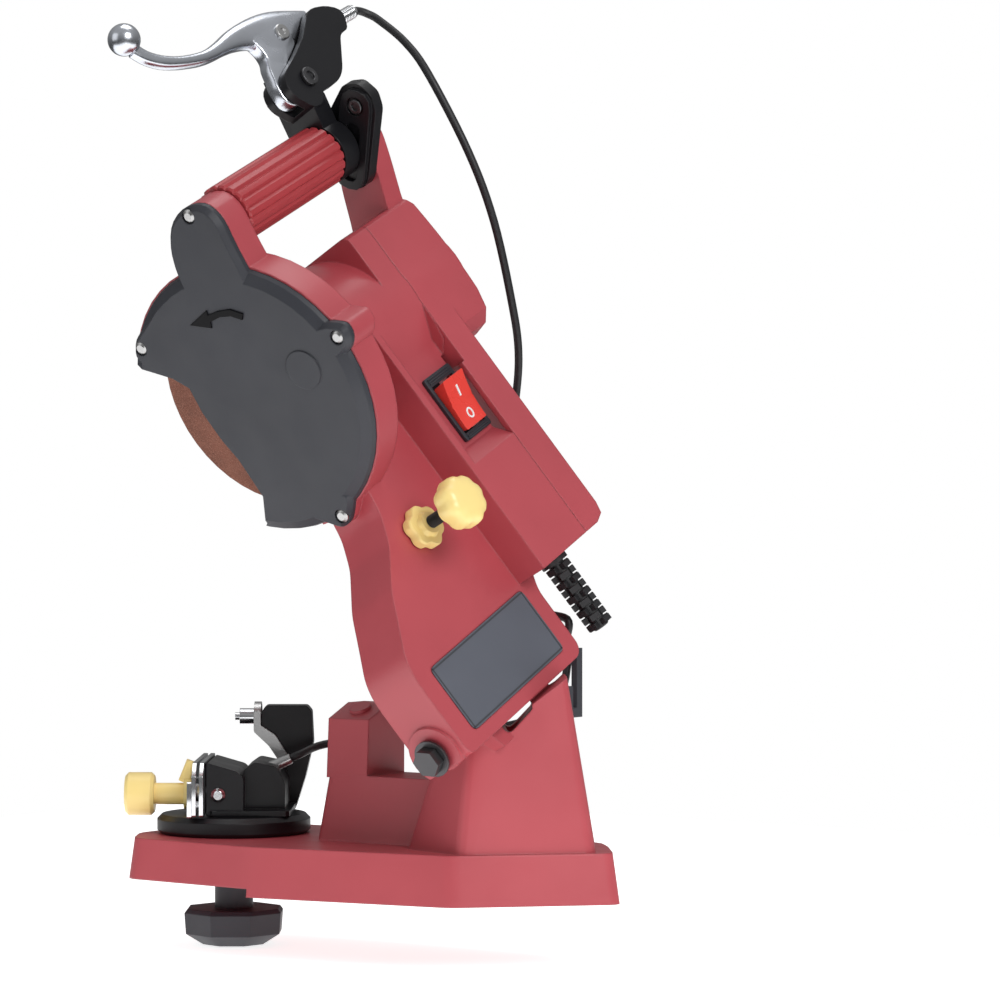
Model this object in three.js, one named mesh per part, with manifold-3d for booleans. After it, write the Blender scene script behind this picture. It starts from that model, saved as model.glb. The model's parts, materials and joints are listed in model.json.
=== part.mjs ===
// Electric chainsaw sharpener for the edge of a bench, with its grinding head raised.
// Millimetres, +Z up, X to the operator's right, Y from the operator towards the pillar, z = 0 on the bench.
import * as THREE from "three";
import { mergeVertices } from "three/addons/utils/BufferGeometryUtils.js";
import Module from "manifold-3d";

const wasm = await Module();
wasm.setup();

const degree = Math.PI / 180;

// Shared clearances.
const gap = 0.3; // between pieces that touch
const slack = 0.5; // round anything that turns or slides
const overrun = 2; // how far a cut runs past the face it opens
const weld = 0.0005;

// Base casting: a plinth with an overhanging front, a saddle, a stop block and a pillar.
const base = {
  halfWidth: 75,
  reach: 230,
  rim: 30,
  draft: 4,
  wall: 5,
  corner: 7,
  overhangFrom: 112,
  overhangLift: 5,
  ribPitch: 46,
  rib: 4,
  bossRadius: 17,
  screwHole: 4.5,
  screwAcross: 55,
};
const basePlanShares = [
  [0.92, -0.909], [0.993, -0.487], [0.68, 0.091], [-0.267, 0.409], [-0.75, 0.29],
  [-1, 0.215], [-1, -0.487], [-0.92, -0.909], [-0.507, -1], [0.507, -1],
];
const saddle = { top: 70, foot: [-42, 12, -108, -8], crown: [-35, 5, -104, -12] };
const stopBlock = { height: 104, from: -103.5, to: -73, near: 3, rise: 9, run: 20, far: -34 };
const pillar = { top: 152, slotWidth: 7.6 };
const pillarFoot = [[41.4, 22.3], [-15.5, 80.8], [-50, 54], [-50, 12], [-30, -30], [26, -30]];
const pillarCrown = [[32.2, 28.9], [-2.5, 64.6], [-30, 44], [-36, 30], [-20, 14], [20, 14]];
const slot = { from: [33, 103], to: [48, 119], turn: 34.3 };

// Head hinge: a bolt that climbs away from the operator's right.
const tilt = 25; // of the wheel's and the hinge's axis above the bench
const raise = 62.6; // of the head's long side above the bench, when raised
const wheel = { x: 109, y: -79, z: 296 };
const hinge = { reach: 227.5, bolt: 5, barrel: 13, from: -47.4, to: 50, lug: 54, lugWidth: 6, restGap: 13 };

// Disc, its housing and its guard. Distances along the wheel's axis start at the guard's face.
const disc = { radius: 72.5, thickness: 3.2, at: 14.4, bore: 11.1 };
const housing = { radius: 85, front: 3.3, back: 24.5, wall: 3.2 };
const guard = { radius: 84, face: -3.5, rim: 3, slope: 7, edge: 2.5, wall: 2.5, corner: 9, screw: 2.6, head: 4.2, seat: -1 };
const emblem = { radius: 12, height: 0.8, alongShare: 0.04, upShare: 0.6 };

// The guard's outlines as shares of its radius: its screws, the lobe over the handle and three tabs.
const guardScrewShares = [[-1.267, 0.577], [-0.767, -0.542], [0, 1.018], [1.012, 0.06]];
const lobeShares = [[-0.62, 0.66], [-0.93, 0.72], [-1.12, 0.775], [-1.27, 0.735], [-1.345, 0.57], [-1.31, 0.37],
  [-1.18, 0.23], [-0.96, 0.12], [-0.6, 0.1]];
const tabShares = [
  [[-0.97, -0.05], [-0.9, -0.32], [-0.835, -0.58], [-0.74, -0.66], [-0.64, -0.63], [-0.44, -0.47], [-0.45, -0.1]],
  [[-0.16, 0.84], [0.13, 0.84], [0.12, 1.02], [0.06, 1.105], [-0.035, 1.13], [-0.13, 1]],
  [[0.9, 0.28], [0.8, 0], [0.9, -0.22], [1, -0.11], [1.085, -0.03], [1.085, 0.06], [1.01, 0.17]],
];
const shaft = { radius: 6, front: 1.6, back: 160 };

// Motor barrel and the rear casting.
const motor = { radius: 47, wall: 4, front: 24.5, split: 121, back: 175, top: 46, nearCorner: 6, farCorner: 34, square: 101 };
const stator = { radius: 41, bore: 25, from: 62, to: 104 };
const rotor = { radius: 24, from: 60, to: 106 };
const bearing = { radius: 13, width: 9, front: 44, back: 150 };
const fan = { radius: 37, at: 128, hub: 12, thickness: 10, blades: 9 };

// Arm, switch box and what they carry.
const arm = { top: 22, low: -16, wall: 4, tail: 238, near: -52, far: 79, corner: 5 };
const box = { near: 68, far: 142.4, end: 182, top: 46, split: 118.5, corner: 10, wall: 4 };
const channel = { from: 12, to: 108, near: 73.5, floor: 35.5, slope: 15 };
const switchPlate = { from: 50, to: 95, near: 89, far: 117, lift: 2.4, lip: 3 };
const rocker = { from: 57.5, to: 89.5, near: 91, far: 115, tip: 9, dip: 3 };
const plate = { from: 185, to: 229, near: -37.4, far: 66, thickness: 0.8, recess: 0.6, corner: 4 };
const relief = { at: 108, height: 20, from: 183, root: 9, core: 5.5, rib: 8, length: 52, ribs: 10 };

// Depth stop, whose screw lands on the stop block.
const depth = { along: 119, across: 25.5, screw: 4, tip: -28, top: 64, nut: 13.5, nutHeight: 9, knob: 15 };
depth.knobFrom = 54;

// Hand grip and the brake lever at its far end.
const grip = { along: -95, height: 48, radius: 17.4, from: 22.6, to: 122.5, ribs: 18, rib: 1.6, rod: 6 };
const rearArm = { from: 149.6, to: 166, corner: 8 };
const clamp = { from: 138, plate: 141, to: 149.3, half: 11, boss: 10.5, screw: 2.5, head: 4.5, room: 6, sunk: 1.6 };
clamp.screwAt = [-11, 32];
clamp.low = [18, -2];
clamp.dent = { from: 11, width: 5, depth: 2.5 };
const lever = { along: -137, across: 134, height: 57, ball: 9.7, tipAlong: -211.6, tipAcross: 28.8, pin: 3.2,
  thickness: 10, hub: 9 };
const perch = { from: 123, to: 137.4, ring: 19, ear: 6, low: 46, top: 68, slotShare: 0.285, tailShare: 0.112 };
const adjusterTube = { along: -159, seat: 198, nut: 5.5, tube: 4, core: 3, length: 24 };
const cable = { radius: 2.5, sides: 8 };
const upperRoute = [[-159, 217, 57], [-158, 224, 58.5], [-146, 228, 65], [-122, 223, 73], [-99, 215, 79], [-46, 207, 75],
  [-3, 201, 64], [43, 196, 42], [71, 193, 25], [95, 191, 8], [130, 184, -1], [165, 170, -2], [200, 132, 6],
  [219.4, 104.2, 4.2], [227.5, 100, 0]];
const brakeJoin = [-67, 25.7, 154.6];
const lowerRoute = [brakeJoin, [-67, 25.7, 149], [-67, 25.7, 143], [-67, 25.7, 137], [-69, 20, 122],
  [-73, 0, 105], [-74, -40, 95], [-69, -78, 91], [-58, -112, 88.5], [-41.4, -140.5, 84], [-27.6, -148.5, 78.5],
  [-24.4, -153.1, 76.05]];
const guide = { foot: -46, footTo: -42, low: 106, eye: 6, eyeFrom: 138, eyeTo: 148, screw: 2.5 };
guide.screwY = 37;
guide.screwZ = 118;

// Chain vise on its turntable, seen along its rails.
const vise = { y: -180, turn: 34.3, radius: 48, floor: 30.3, table: 42 };
const lockKnob = { radius: 32.5, from: -39.5, to: -17, hub: 12, hubTop: 4.7, flats: 8 };
const swivelBolt = { radius: 6, head: 9, headHeight: 4 };
const body = { from: -15, to: 37, near: 30, far: -45, top: 76, wall: 5 };
const rail = { half: 50, thickness: 2.5, low: 44, top: 76.5 };
const fixedRailAt = -15.3;
const movingRailAt = -19.8;
const post = { near: -30, far: -46, from: 15, to: 47, top: 107.5 };
const stopPin = { radius: 5.3, from: -2, to: 14.8, height: 100, across: -38 };
const adjuster = { knob: 13.5, knobFrom: -67.8, knobTo: -49.6, shank: 6.75, tip: -26, height: 54 };
const wing = { radius: 3.4 };
const bracket = { near: 48, far: 36, low: 42.6, top: 65, from: -25.4, to: -22 };

const colours = {
  red: [0xb8545c, 0.45, 0.1],
  black: [0x464950, 0.5, 0],
  rubber: [0x2a2c30, 0.8, 0],
  yellow: [0xf5d778, 0.45, 0],
  steel: [0xa8abb0, 0.35, 0.9],
  chrome: [0xd4d7dc, 0.12, 1],
  abrasive: [0x965a46, 0.9, 0],
  grey: [0x696e76, 0.4, 0.4],
  copper: [0xb87345, 0.4, 0.8],
  switchRed: [0xe14a3c, 0.35, 0],
};

// Joining and cutting.

// A closed three.js geometry as a solid with its faces out.
function solid(geometry) {
  const bare = geometry.index ? geometry.toNonIndexed() : geometry.clone();
  bare.deleteAttribute("normal");
  bare.deleteAttribute("uv");
  const merged = mergeVertices(bare, weld);
  const faces = [];
  for (let i = 0; i < merged.index.count; i += 3) {
    const [a, b, c] = [merged.index.getX(i), merged.index.getX(i + 1), merged.index.getX(i + 2)];
    if (a !== b && b !== c && c !== a) faces.push([a, b, c]);
  }
  const made = skinned(merged.attributes.position.array, faces);
  return made.volume() > 0 ? made : skinned(merged.attributes.position.array, faces.map((face) => face.reverse()));
}

function skinned(vertProperties, faces) {
  return new wasm.Manifold(new wasm.Mesh({ numProp: 3, vertProperties, triVerts: new Uint32Array(faces.flat()) }));
}

const fuse = (first, ...others) => others.reduce((whole, next) => whole.add(next), first);
const carve = (first, ...cuts) => cuts.reduce((whole, next) => whole.subtract(next), first);

function geometryOf(made) {
  const mesh = made.getMesh();
  const geometry = new THREE.BufferGeometry();
  geometry.setAttribute("position", new THREE.BufferAttribute(new Float32Array(mesh.vertProperties), mesh.numProp));
  geometry.setIndex(new THREE.BufferAttribute(new Uint32Array(mesh.triVerts), 1));
  const flat = geometry.toNonIndexed();
  flat.computeVertexNormals();
  return flat;
}

// A named sub-part with a material of its own.
function subpart(name, made, colour) {
  const [color, roughness, metalness] = colours[colour];
  const mesh = new THREE.Mesh(geometryOf(made), new THREE.MeshStandardMaterial({ color, roughness, metalness }));
  mesh.name = name;
  return mesh;
}

// Outlines.

const rectangle = (left, right, low, high) => [[left, low], [right, low], [right, high], [left, high]];

const scaled = (shares, width, height) => shares.map(([x, y]) => [x * width, y * height]);

// The corners of an outline, each rounded by the radius where it has room.
function cornered(points, radius, steps = 3) {
  const corners = points.map(([x, y]) => new THREE.Vector2(x, y));
  return corners.flatMap((corner, i) => {
    const own = Array.isArray(radius) ? radius[i] : radius;
    if (!own) return [corner];
    const before = corners.at(i - 1);
    const after = corners[(i + 1) % corners.length];
    const reach = Math.min(own, corner.distanceTo(before) / 2.05, corner.distanceTo(after) / 2.05);
    const start = corner.clone().lerp(before, reach / corner.distanceTo(before));
    const end = corner.clone().lerp(after, reach / corner.distanceTo(after));
    return new THREE.QuadraticBezierCurve(start, corner, end).getPoints(steps);
  });
}

// An outline moved in by a wall, for outlines that run anticlockwise.
function inset(points, wall) {
  return points.map(([x, y], i) => {
    const [px, py] = points.at(i - 1);
    const [nx, ny] = points[(i + 1) % points.length];
    const before = new THREE.Vector2(x - px, y - py).normalize();
    const after = new THREE.Vector2(nx - x, ny - y).normalize();
    const inward = new THREE.Vector2(-before.y - after.y, before.x + after.x);
    const reach = wall / (0.5 * inward.lengthSq());
    return [x + inward.x * reach, y + inward.y * reach];
  });
}

const arcPoints = (radius, from, to, steps, x = 0, y = 0) =>
  Array.from({ length: steps + 1 }, (unused, i) => {
    const angle = (from + ((to - from) * i) / steps) * degree;
    return [x + radius * Math.cos(angle), y + radius * Math.sin(angle)];
  });

const circle = (radius, sides, x = 0, y = 0) => arcPoints(radius, 0, 360, sides, x, y).slice(0, sides);

// Solids from outlines.

// An outline of pairs or of rounded corners, pushed up from one height to another.
function raised(points, from, to, radius = 0) {
  const outline = new THREE.Shape(cornered(points, radius));
  const depthOptions = { depth: to - from, bevelEnabled: false };
  return new THREE.ExtrudeGeometry(outline, depthOptions).translate(0, 0, from);
}

// The same for outlines in X and Z, pushed along Y, and for outlines in Y and Z, pushed along X.
const pushedBack = (points, from, to, radius = 0) => raised(points, -to, -from, radius).rotateX(Math.PI / 2);
const pushedAcross = (points, from, to, radius = 0) =>
  raised(points, from, to, radius).rotateX(Math.PI / 2).rotateZ(Math.PI / 2);

const block = (x0, x1, y0, y1, z0, z1) => solid(raised(rectangle(x0, x1, y0, y1), z0, z1));

// A rod up Z, along Y or along X.
const rod = (radius, from, to, sides = 20) => raised(circle(radius, sides), from, to);
const rodBack = (radius, from, to, sides = 20) => pushedBack(circle(radius, sides), from, to);
const rodAcross = (radius, from, to, sides = 20) => pushedAcross(circle(radius, sides), from, to);

// A profile of radius and height turned about Z, or about Y.
const turnedBack = (profile, sides = 24) =>
  new THREE.LatheGeometry(profile.map(([r, y]) => new THREE.Vector2(r, y)), sides);
const turned = (profile, sides = 24) => turnedBack(profile, sides).rotateX(Math.PI / 2);

// A closed skin over level rings that have as many points each, given as pairs of an outline and its height.
function loft(rings) {
  const outlines = rings.map(([points]) => points.map((p) => (Array.isArray(p) ? new THREE.Vector2(...p) : p)));
  const count = outlines[0].length;
  const corners = outlines.flatMap((points, r) => points.flatMap((p) => [p.x, p.y, rings[r][1]]));
  const floor = THREE.ShapeUtils.triangulateShape(outlines[0], []).map(([a, b, c]) => [c, b, a]);
  const last = (rings.length - 1) * count;
  const roof = THREE.ShapeUtils.triangulateShape(outlines.at(-1), []).map((face) => face.map((i) => i + last));
  const sides = outlines.slice(1).flatMap((unused, r) =>
    Array.from({ length: count }, (alsoUnused, i) => {
      const a = r * count + i;
      const b = r * count + ((i + 1) % count);
      return [[a, b, b + count], [a, b + count, a + count]];
    }).flat(),
  );
  const geometry = new THREE.BufferGeometry();
  geometry.setAttribute("position", new THREE.Float32BufferAttribute(corners, 3));
  geometry.setIndex([...floor, ...roof, ...sides].flat());
  return geometry;
}

// A round tube along a smooth route of points.
function tube(route, radius, sides, steps) {
  const path = new THREE.CatmullRomCurve3(route.map((p) => new THREE.Vector3(...p)), false, "centripetal");
  const section = new THREE.Shape(circle(radius, sides).map(([x, y]) => new THREE.Vector2(x, y)));
  return new THREE.ExtrudeGeometry(section, { steps, extrudePath: path, bevelEnabled: false });
}

// Two crossed blocks round a radius that a lobed knob is made of.
function lobed(radius, lobes, depthShare, from, to, steps = 4) {
  const count = lobes * steps;
  const points = Array.from({ length: count }, (unused, i) => {
    const angle = (i * 2 * Math.PI) / count;
    const reach = radius * (1 - depthShare * (0.5 - 0.5 * Math.cos(lobes * angle)));
    return [reach * Math.cos(angle), reach * Math.sin(angle)];
  });
  const small = points.map(([x, y]) => [x * 0.93, y * 0.93]);
  const edge = (to - from) * 0.14;
  return loft([[small, from], [points, from + edge], [points, to - edge], [small, to]]);
}

// A domed machine screw that points down Z, with its head's seat at zero.
function screw(radius, headRadius, headHeight, length) {
  return solid(turned([[0, -length], [radius, -length], [radius, 0], [headRadius, 0],
    [headRadius, headHeight * 0.5], [headRadius * 0.6, headHeight], [0, headHeight]], 12));
}

// The head's directions: down its long side, along the wheel's axis, and square to both.
const axisBack = new THREE.Vector3(-Math.cos(tilt * degree), 0, Math.sin(tilt * degree));
const levelUp = new THREE.Vector3(Math.sin(tilt * degree), 0, Math.cos(tilt * degree));
const backward = new THREE.Vector3(0, 1, 0);
const downSide = backward.clone().multiplyScalar(Math.cos(raise * degree))
  .addScaledVector(levelUp, -Math.sin(raise * degree));
const outOfSide = backward.clone().multiplyScalar(Math.sin(raise * degree))
  .addScaledVector(levelUp, Math.cos(raise * degree));
const headTurn = new THREE.Matrix4().makeBasis(downSide, axisBack, outOfSide);
const headPlace = headTurn.clone().setPosition(wheel.x, wheel.y, wheel.z);

const inHeadOfBase = (geometry) => solid(geometry.applyMatrix4(headPlace));

// Base.

function makeBaseCasting() {
  const foot = scaled(basePlanShares, base.halfWidth, base.reach);
  const crown = inset(foot, base.draft);
  const plinth = solid(loft([[cornered(foot, base.corner), 0], [cornered(crown, base.corner), base.rim]]));
  const saddleBody = solid(loft([
    [cornered(rectangle(...saddle.foot), base.corner), base.rim - overrun],
    [cornered(rectangle(...saddle.crown), base.corner), saddle.top],
  ]));
  const blockLine = [
    [stopBlock.near + base.draft / 2, saddle.top - overrun], [stopBlock.near, stopBlock.height],
    [stopBlock.near - stopBlock.run, stopBlock.height + stopBlock.rise],
    [stopBlock.far, stopBlock.height + stopBlock.rise], [stopBlock.far, saddle.top - overrun],
  ];
  const blockBody = solid(pushedBack(blockLine, stopBlock.from, stopBlock.to));
  const pad = solid(rod(base.wall * 1.4, -overrun, base.wall * 0.4, 20).rotateY(-tilt * degree * -1)
    .translate(stopBlock.near - stopBlock.run * 0.6, -88, stopBlock.height + stopBlock.rise * 0.62));
  const pillarBody = makePillar(0);
  const rest = hinge.reach + hinge.restGap;
  const span = base.reach;
  const above = inHeadOfBase(raised(rectangle(-span, rest, -span, span), -span, span));
  const barrel = inHeadOfBase(rodBack(hinge.barrel, hinge.from, hinge.to, 28).translate(hinge.reach, 0, 0));
  const webLine = [[hinge.reach, -20], [hinge.reach, hinge.to], [rest + 9, hinge.to], [rest + 9, -12]];
  const web = inHeadOfBase(raised(webLine, -hinge.barrel * 0.75, hinge.barrel * 0.75));
  const lugRoom = inHeadOfBase(rodBack(hinge.barrel + 7, hinge.to + gap, hinge.lug + hinge.lugWidth + 14, 28)
    .translate(hinge.reach, 0, 0));
  const bore = inHeadOfBase(rodBack(hinge.bolt + gap, hinge.from - overrun, hinge.to + overrun)
    .translate(hinge.reach, 0, 0));
  const casting = fuse(
    carve(pillarBody, above, lugRoom), plinth, saddleBody, blockBody, pad, carve(fuse(barrel, web), bore));
  return carve(casting, bore, slotCut(), baseHollows(foot), overhangCut(), ...baseHoles());
}

// The pillar's tapering body, or one that stands a little proud of it.
function makePillar(proud) {
  return solid(loft([
    [cornered(inset(pillarFoot, -proud), base.corner), base.rim - overrun],
    [cornered(inset(pillarCrown, -proud), base.corner), pillar.top],
  ]));
}

// The slot through the pillar's broad face, square to the operator's side.
function slotCut() {
  const [x0, z0] = slot.from;
  const [x1, z1] = slot.to;
  const run = new THREE.Vector2(x1 - x0, z1 - z0);
  const across = new THREE.Vector2(-run.y, run.x).setLength(pillar.slotWidth / 2);
  const line = [[x0 + across.x, z0 + across.y], [x0 - across.x, z0 - across.y],
    [x1 - across.x, z1 - across.y], [x1 + across.x, z1 + across.y]];
  return solid(pushedBack(line, -base.reach / 2, base.reach / 2, pillar.slotWidth / 2)
    .rotateZ((slot.turn + 90) * degree).translate(46.7, 16.8, 0));
}

// The plinth, the saddle, the stop block and the pillar are open below, over a lattice of ribs.
function baseHollows(plan) {
  const { wall, rim } = base;
  const plinth = solid(raised(inset(plan, wall + base.draft), -overrun, rim - wall));
  const under = solid(loft([
    [inset(rectangle(...saddle.foot), wall), -overrun], [inset(rectangle(...saddle.crown), wall), saddle.top - wall]]));
  const blockRoom = block(stopBlock.far + wall, stopBlock.near - stopBlock.run, stopBlock.from + wall,
    stopBlock.to - wall, saddle.top - 2 * wall, stopBlock.height);
  const hollow = fuse(plinth, under, blockRoom, pillarHollow());
  const ribs = [-0.5, 0.5].map((share) => {
    const x = share * base.ribPitch;
    return block(x - base.rib / 2, x + base.rib / 2, -base.reach, base.reach, -overrun, pillar.top);
  });
  const rows = Math.ceil(base.reach / base.ribPitch);
  for (let row = -rows; row <= rows; row++) {
    const y = row * base.ribPitch;
    ribs.push(block(-base.reach, base.reach, y - base.rib / 2, y + base.rib / 2, -overrun, pillar.top));
  }
  const boss = solid(rod(base.bossRadius, -overrun, rim).translate(0, vise.y, 0));
  const foot = solid(rod(base.bossRadius / 2, -overrun, rim));
  return carve(hollow, boss, foot, ...ribs);
}

// The pillar's inside keeps a wall below its slanting top and round the hinge's lug.
function pillarHollow() {
  const { wall } = base;
  const foot = inset(pillarFoot, wall);
  const inside = solid(loft([[foot, -overrun], [foot, base.rim], [inset(pillarCrown, wall), pillar.top]]));
  const roof = hinge.reach + hinge.restGap + wall;
  const span = base.reach;
  const above = inHeadOfBase(raised(rectangle(-span, roof, -span, span), -span, span));
  const lugWall = inHeadOfBase(rodBack(hinge.barrel + 7 + wall, hinge.to - wall, hinge.lug + hinge.lugWidth + 14 + wall, 28)
    .translate(hinge.reach, 0, 0));
  return carve(inside, above, lugWall);
}

const overhangCut = () =>
  block(-base.reach, base.reach, -base.reach - overrun, -base.overhangFrom, -overrun, base.overhangLift);

function baseHoles() {
  const swivelHole = solid(rod(swivelBolt.radius + slack, -overrun, base.rim + overrun).translate(0, vise.y, 0));
  const benchHoles = [-0.41, 0.087].map((share) =>
    solid(rod(base.screwHole, -overrun, base.rim + overrun, 16).translate(-base.screwAcross, share * base.reach, 0)));
  const guideHole = solid(rodAcross(guide.screw + gap, -base.halfWidth, guide.footTo + 8, 12)
    .translate(0, guide.screwY, guide.screwZ));
  return [swivelHole, guideHole, ...benchHoles];
}

// A bracket on the pillar's far side whose eye holds the brake cable on the hinge's axis.
function makeGuide() {
  const [x, y] = [brakeJoin[0], brakeJoin[1]];
  const { foot, footTo, low, eyeFrom, eyeTo, eye } = guide;
  const plateLine = block(foot, footTo + 8, y + 2, y + 18, low, low + 20);
  const strut = block(x - 3, footTo, y + 5, y + 9, low, low + 6);
  const upright = block(x - 3, x + 3, y + 5, y + 9, low, eyeTo);
  const ring = solid(rod(eye, eyeFrom, eyeTo, 20).translate(x, y, 0));
  const cableRoom = solid(rod(cable.radius + slack, eyeFrom - overrun, eyeTo + overrun, 16).translate(x, y, 0));
  const screwRoom = solid(rodAcross(guide.screw + gap, foot - overrun, footTo + 9, 12)
    .translate(0, guide.screwY, guide.screwZ));
  const bracket = carve(fuse(plateLine, strut, upright, ring), makePillar(gap), cableRoom, screwRoom);
  const fixing = subpart("guide_screw", screw(guide.screw, guide.screw * 1.8, 2.2, 10), "steel");
  fixing.rotation.y = -Math.PI / 2;
  fixing.position.set(foot - gap, guide.screwY, guide.screwZ);
  return [subpart("cable_guide", bracket, "black"), fixing];
}

const lowerCable = () => solid(tube(lowerRoute, cable.radius, cable.sides, 30));

function makeBase() {
  const group = new THREE.Group();
  group.add(subpart("base_casting", makeBaseCasting(), "red"), ...makeGuide());
  group.add(subpart("brake_cable_lower", lowerCable(), "rubber"));
  return group;
}

// Hinge bolt with its washer and nut, on the hinge's axis. They stay with the base.
function makeHinge() {
  const group = new THREE.Group();
  const outer = arm.near - hinge.bolt * 0.8;
  const washer = 1.6;
  const headFrom = outer - gap - washer - gap;
  const end = hinge.lug + hinge.lugWidth;
  const bolt = fuse(
    solid(rodBack(hinge.bolt, headFrom - 1, end + 14)),
    solid(rodBack(hinge.bolt * 1.75, headFrom - 6, headFrom, 6)));
  const ring = carve(solid(rodBack(hinge.bolt * 2.3, headFrom + gap, headFrom + gap + washer)),
    solid(rodBack(hinge.bolt + gap, headFrom - overrun, headFrom + washer + overrun)));
  const nut = carve(solid(rodBack(hinge.bolt * 1.75, end + gap, end + gap + 8, 6)),
    solid(rodBack(hinge.bolt + gap, end - overrun, end + 8 + overrun)));
  group.add(subpart("hinge_bolt", bolt, "steel"), subpart("hinge_washer", ring, "steel"),
    subpart("hinge_nut", nut, "steel"));
  group.applyMatrix4(headPlace);
  group.translateX(hinge.reach);
  return group;
}

// Head.

// Outline of the opening at the wheel's lower side: what lies beyond it stays bare.
const openingShares = [[-0.84, -1.3], [-0.745, -0.75], [-0.6, -0.6], [-0.462, -0.46], [-0.337, -0.385],
  [-0.138, -0.425], [0.099, -0.43], [0.279, -0.412], [0.582, -0.435], [0.752, -0.575], [0.93, -1.3]];

const openingCut = (radius, from, to) => solid(pushedBack(scaled(openingShares, radius, radius), from, to));

// The housing behind the guard ends straight on its side next to the arm.
const housingOpening = (radius, from, to) =>
  solid(pushedBack(scaled([[0.16, -1.3], [0.16, -0.2], [1.3, -0.2], [1.3, -1.3]], radius, radius), from, to));

function guardScrewPlaces() {
  return scaled(guardScrewShares, guard.radius, guard.radius);
}

function makeHeadCasting() {
  const h = housing;
  const ring = carve(solid(rodBack(h.radius, h.front, h.back, 48)),
    solid(rodBack(h.radius - h.wall, h.front - overrun, h.back - h.wall, 48)));
  const discRoom = solid(rodBack(disc.radius + overrun, -overrun, h.back - h.wall, 48));
  const lugs = tabShares.map((shares) =>
    carve(solid(pushedBack(scaled(shares, guard.radius, guard.radius), h.front, h.back, h.wall)), discRoom));
  const handleLug = solid(pushedBack(scaled(lobeShares, guard.radius, guard.radius), h.front, grip.from - gap, guard.corner));
  const wheelRoom = solid(rodBack(h.radius - h.wall, -overrun, h.back - h.wall, 48));
  const barrel = fuse(solid(rodBack(motor.radius, motor.front - overrun, motor.split, 48)),
    squareTop(motor.square, motor.split));
  const shell = carve(fuse(ring, handleLug), openingCut(guard.radius, -overrun, h.back + overrun),
    housingOpening(guard.radius, -overrun, h.back + overrun));
  const whole = fuse(carve(fuse(shell, makeArmShell()), wheelRoom), barrel, frontBox(),
    ...lugs.map((lug) => carve(lug, openingCut(guard.radius, -overrun, h.back + overrun))));
  return carve(whole, ...headCuts());
}

// Towards its rear the motor barrel has a flat top with one wide and one tight corner.
function squareTop(from, to) {
  const line = [[-motor.radius, 0], [motor.radius, 0], [motor.radius, motor.top], [-motor.radius, motor.top]];
  return solid(pushedBack(line, from, to, [0, 0, motor.farCorner, motor.nearCorner]));
}

const armNearShares = [[0.25, 0.15], [0.345, 0.2], [0.41, 0.13], [0.48, -0.05], [0.57, -0.46], [0.65, -0.71],
  [0.715, -0.92], [0.76, -0.99], [0.815, -1], [0.975, -1], [1, -0.96]];

function armLine() {
  const near = armNearShares.map(([x, y]) => [x * arm.tail, -y * arm.near]);
  return [...near, [arm.tail, arm.far - arm.corner], [arm.tail - arm.corner, arm.far],
    [box.end + box.corner, arm.far], [box.end - box.corner, arm.far + box.corner],
    [motor.radius, arm.far + box.corner]];
}

// The arm is a shell, open below and at its tail, with a lug each side of the hinge barrel.
function makeArmShell() {
  const line = armLine();
  const skin = solid(raised(line, arm.low, arm.top, arm.corner));
  const inner = inset(line, arm.wall);
  const hollow = solid(raised(inner, arm.low - overrun, arm.top - arm.wall));
  const tailOpen = block(hinge.reach - 20, arm.tail + overrun, arm.near + arm.wall, arm.far - arm.wall,
    arm.low - overrun, arm.top - arm.wall);
  const reach = hinge.barrel + 5;
  const nearRound = [[hinge.reach - 40, arm.low - overrun], [hinge.reach - 14, arm.low - overrun],
    [hinge.reach + 2, arm.low], [arm.tail + overrun, arm.low + 6], [arm.tail + overrun, arm.low - 9]];
  const softened = carve(skin, solid(pushedBack(nearRound.slice(1), -arm.tail, arm.tail)));
  const boss = solid(rodBack(reach, arm.near - 2, arm.near + arm.wall, 28).translate(hinge.reach, 0, 0));
  const farLug = solid(rodBack(hinge.barrel - 1, hinge.lug, hinge.lug + hinge.lugWidth, 28)
    .translate(hinge.reach, 0, 0));
  const hanger = block(hinge.reach - 11, hinge.reach + 10, hinge.lug, hinge.lug + hinge.lugWidth, 0, arm.top - 1);
  const cap = solid(rodBack(reach, arm.near - overrun, arm.near + arm.wall, 28)
    .translate(hinge.reach, 0, 0));
  const trimmed = carve(boss, block(arm.tail, arm.tail + 40, -arm.tail, arm.tail, -40, 40),
    block(0, arm.tail + 40, -arm.tail, arm.tail, arm.top, 60));
  return fuse(carve(softened, hollow, tailOpen), trimmed, farLug, hanger, cap.intersect(softened));
}

// The switch box's outline in the arm's plan, split along its rear rib between the two castings.
function boxLine(near, far) {
  return [[0, near], [box.end - 0.5, near], [box.end, near + 1], [box.end, far - box.corner],
    [box.end - 3, far - 2], [box.end - box.corner, far], [0, far]];
}

const boxSide = () => [[0, arm.low], [box.end + overrun, arm.low], [box.end + overrun, box.top], [0, box.top]];

// The switch lies in a channel whose floor slopes up at both ends.
function channelLine() {
  const { from, to, floor, slope } = channel;
  return [[from, box.top + gap], [from + slope * 1.4, floor], [to - slope * 0.7, floor], [to, box.top + gap],
    [to, box.top + overrun], [from, box.top + overrun]];
}

function frontBox() {
  const far = box.split - gap / 2;
  const plan = solid(raised(rectangle(0, box.end, box.near, far), arm.low, box.top));
  const hollow = block(motor.radius + 8, box.end - box.wall, box.near + box.wall, far + overrun,
    arm.low - overrun, channel.floor - 3);
  const upper = block(channel.to + box.wall, box.end - box.wall, box.near + box.wall, far + overrun,
    arm.low, box.top - box.wall);
  return carve(plan, hollow, upper);
}

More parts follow.
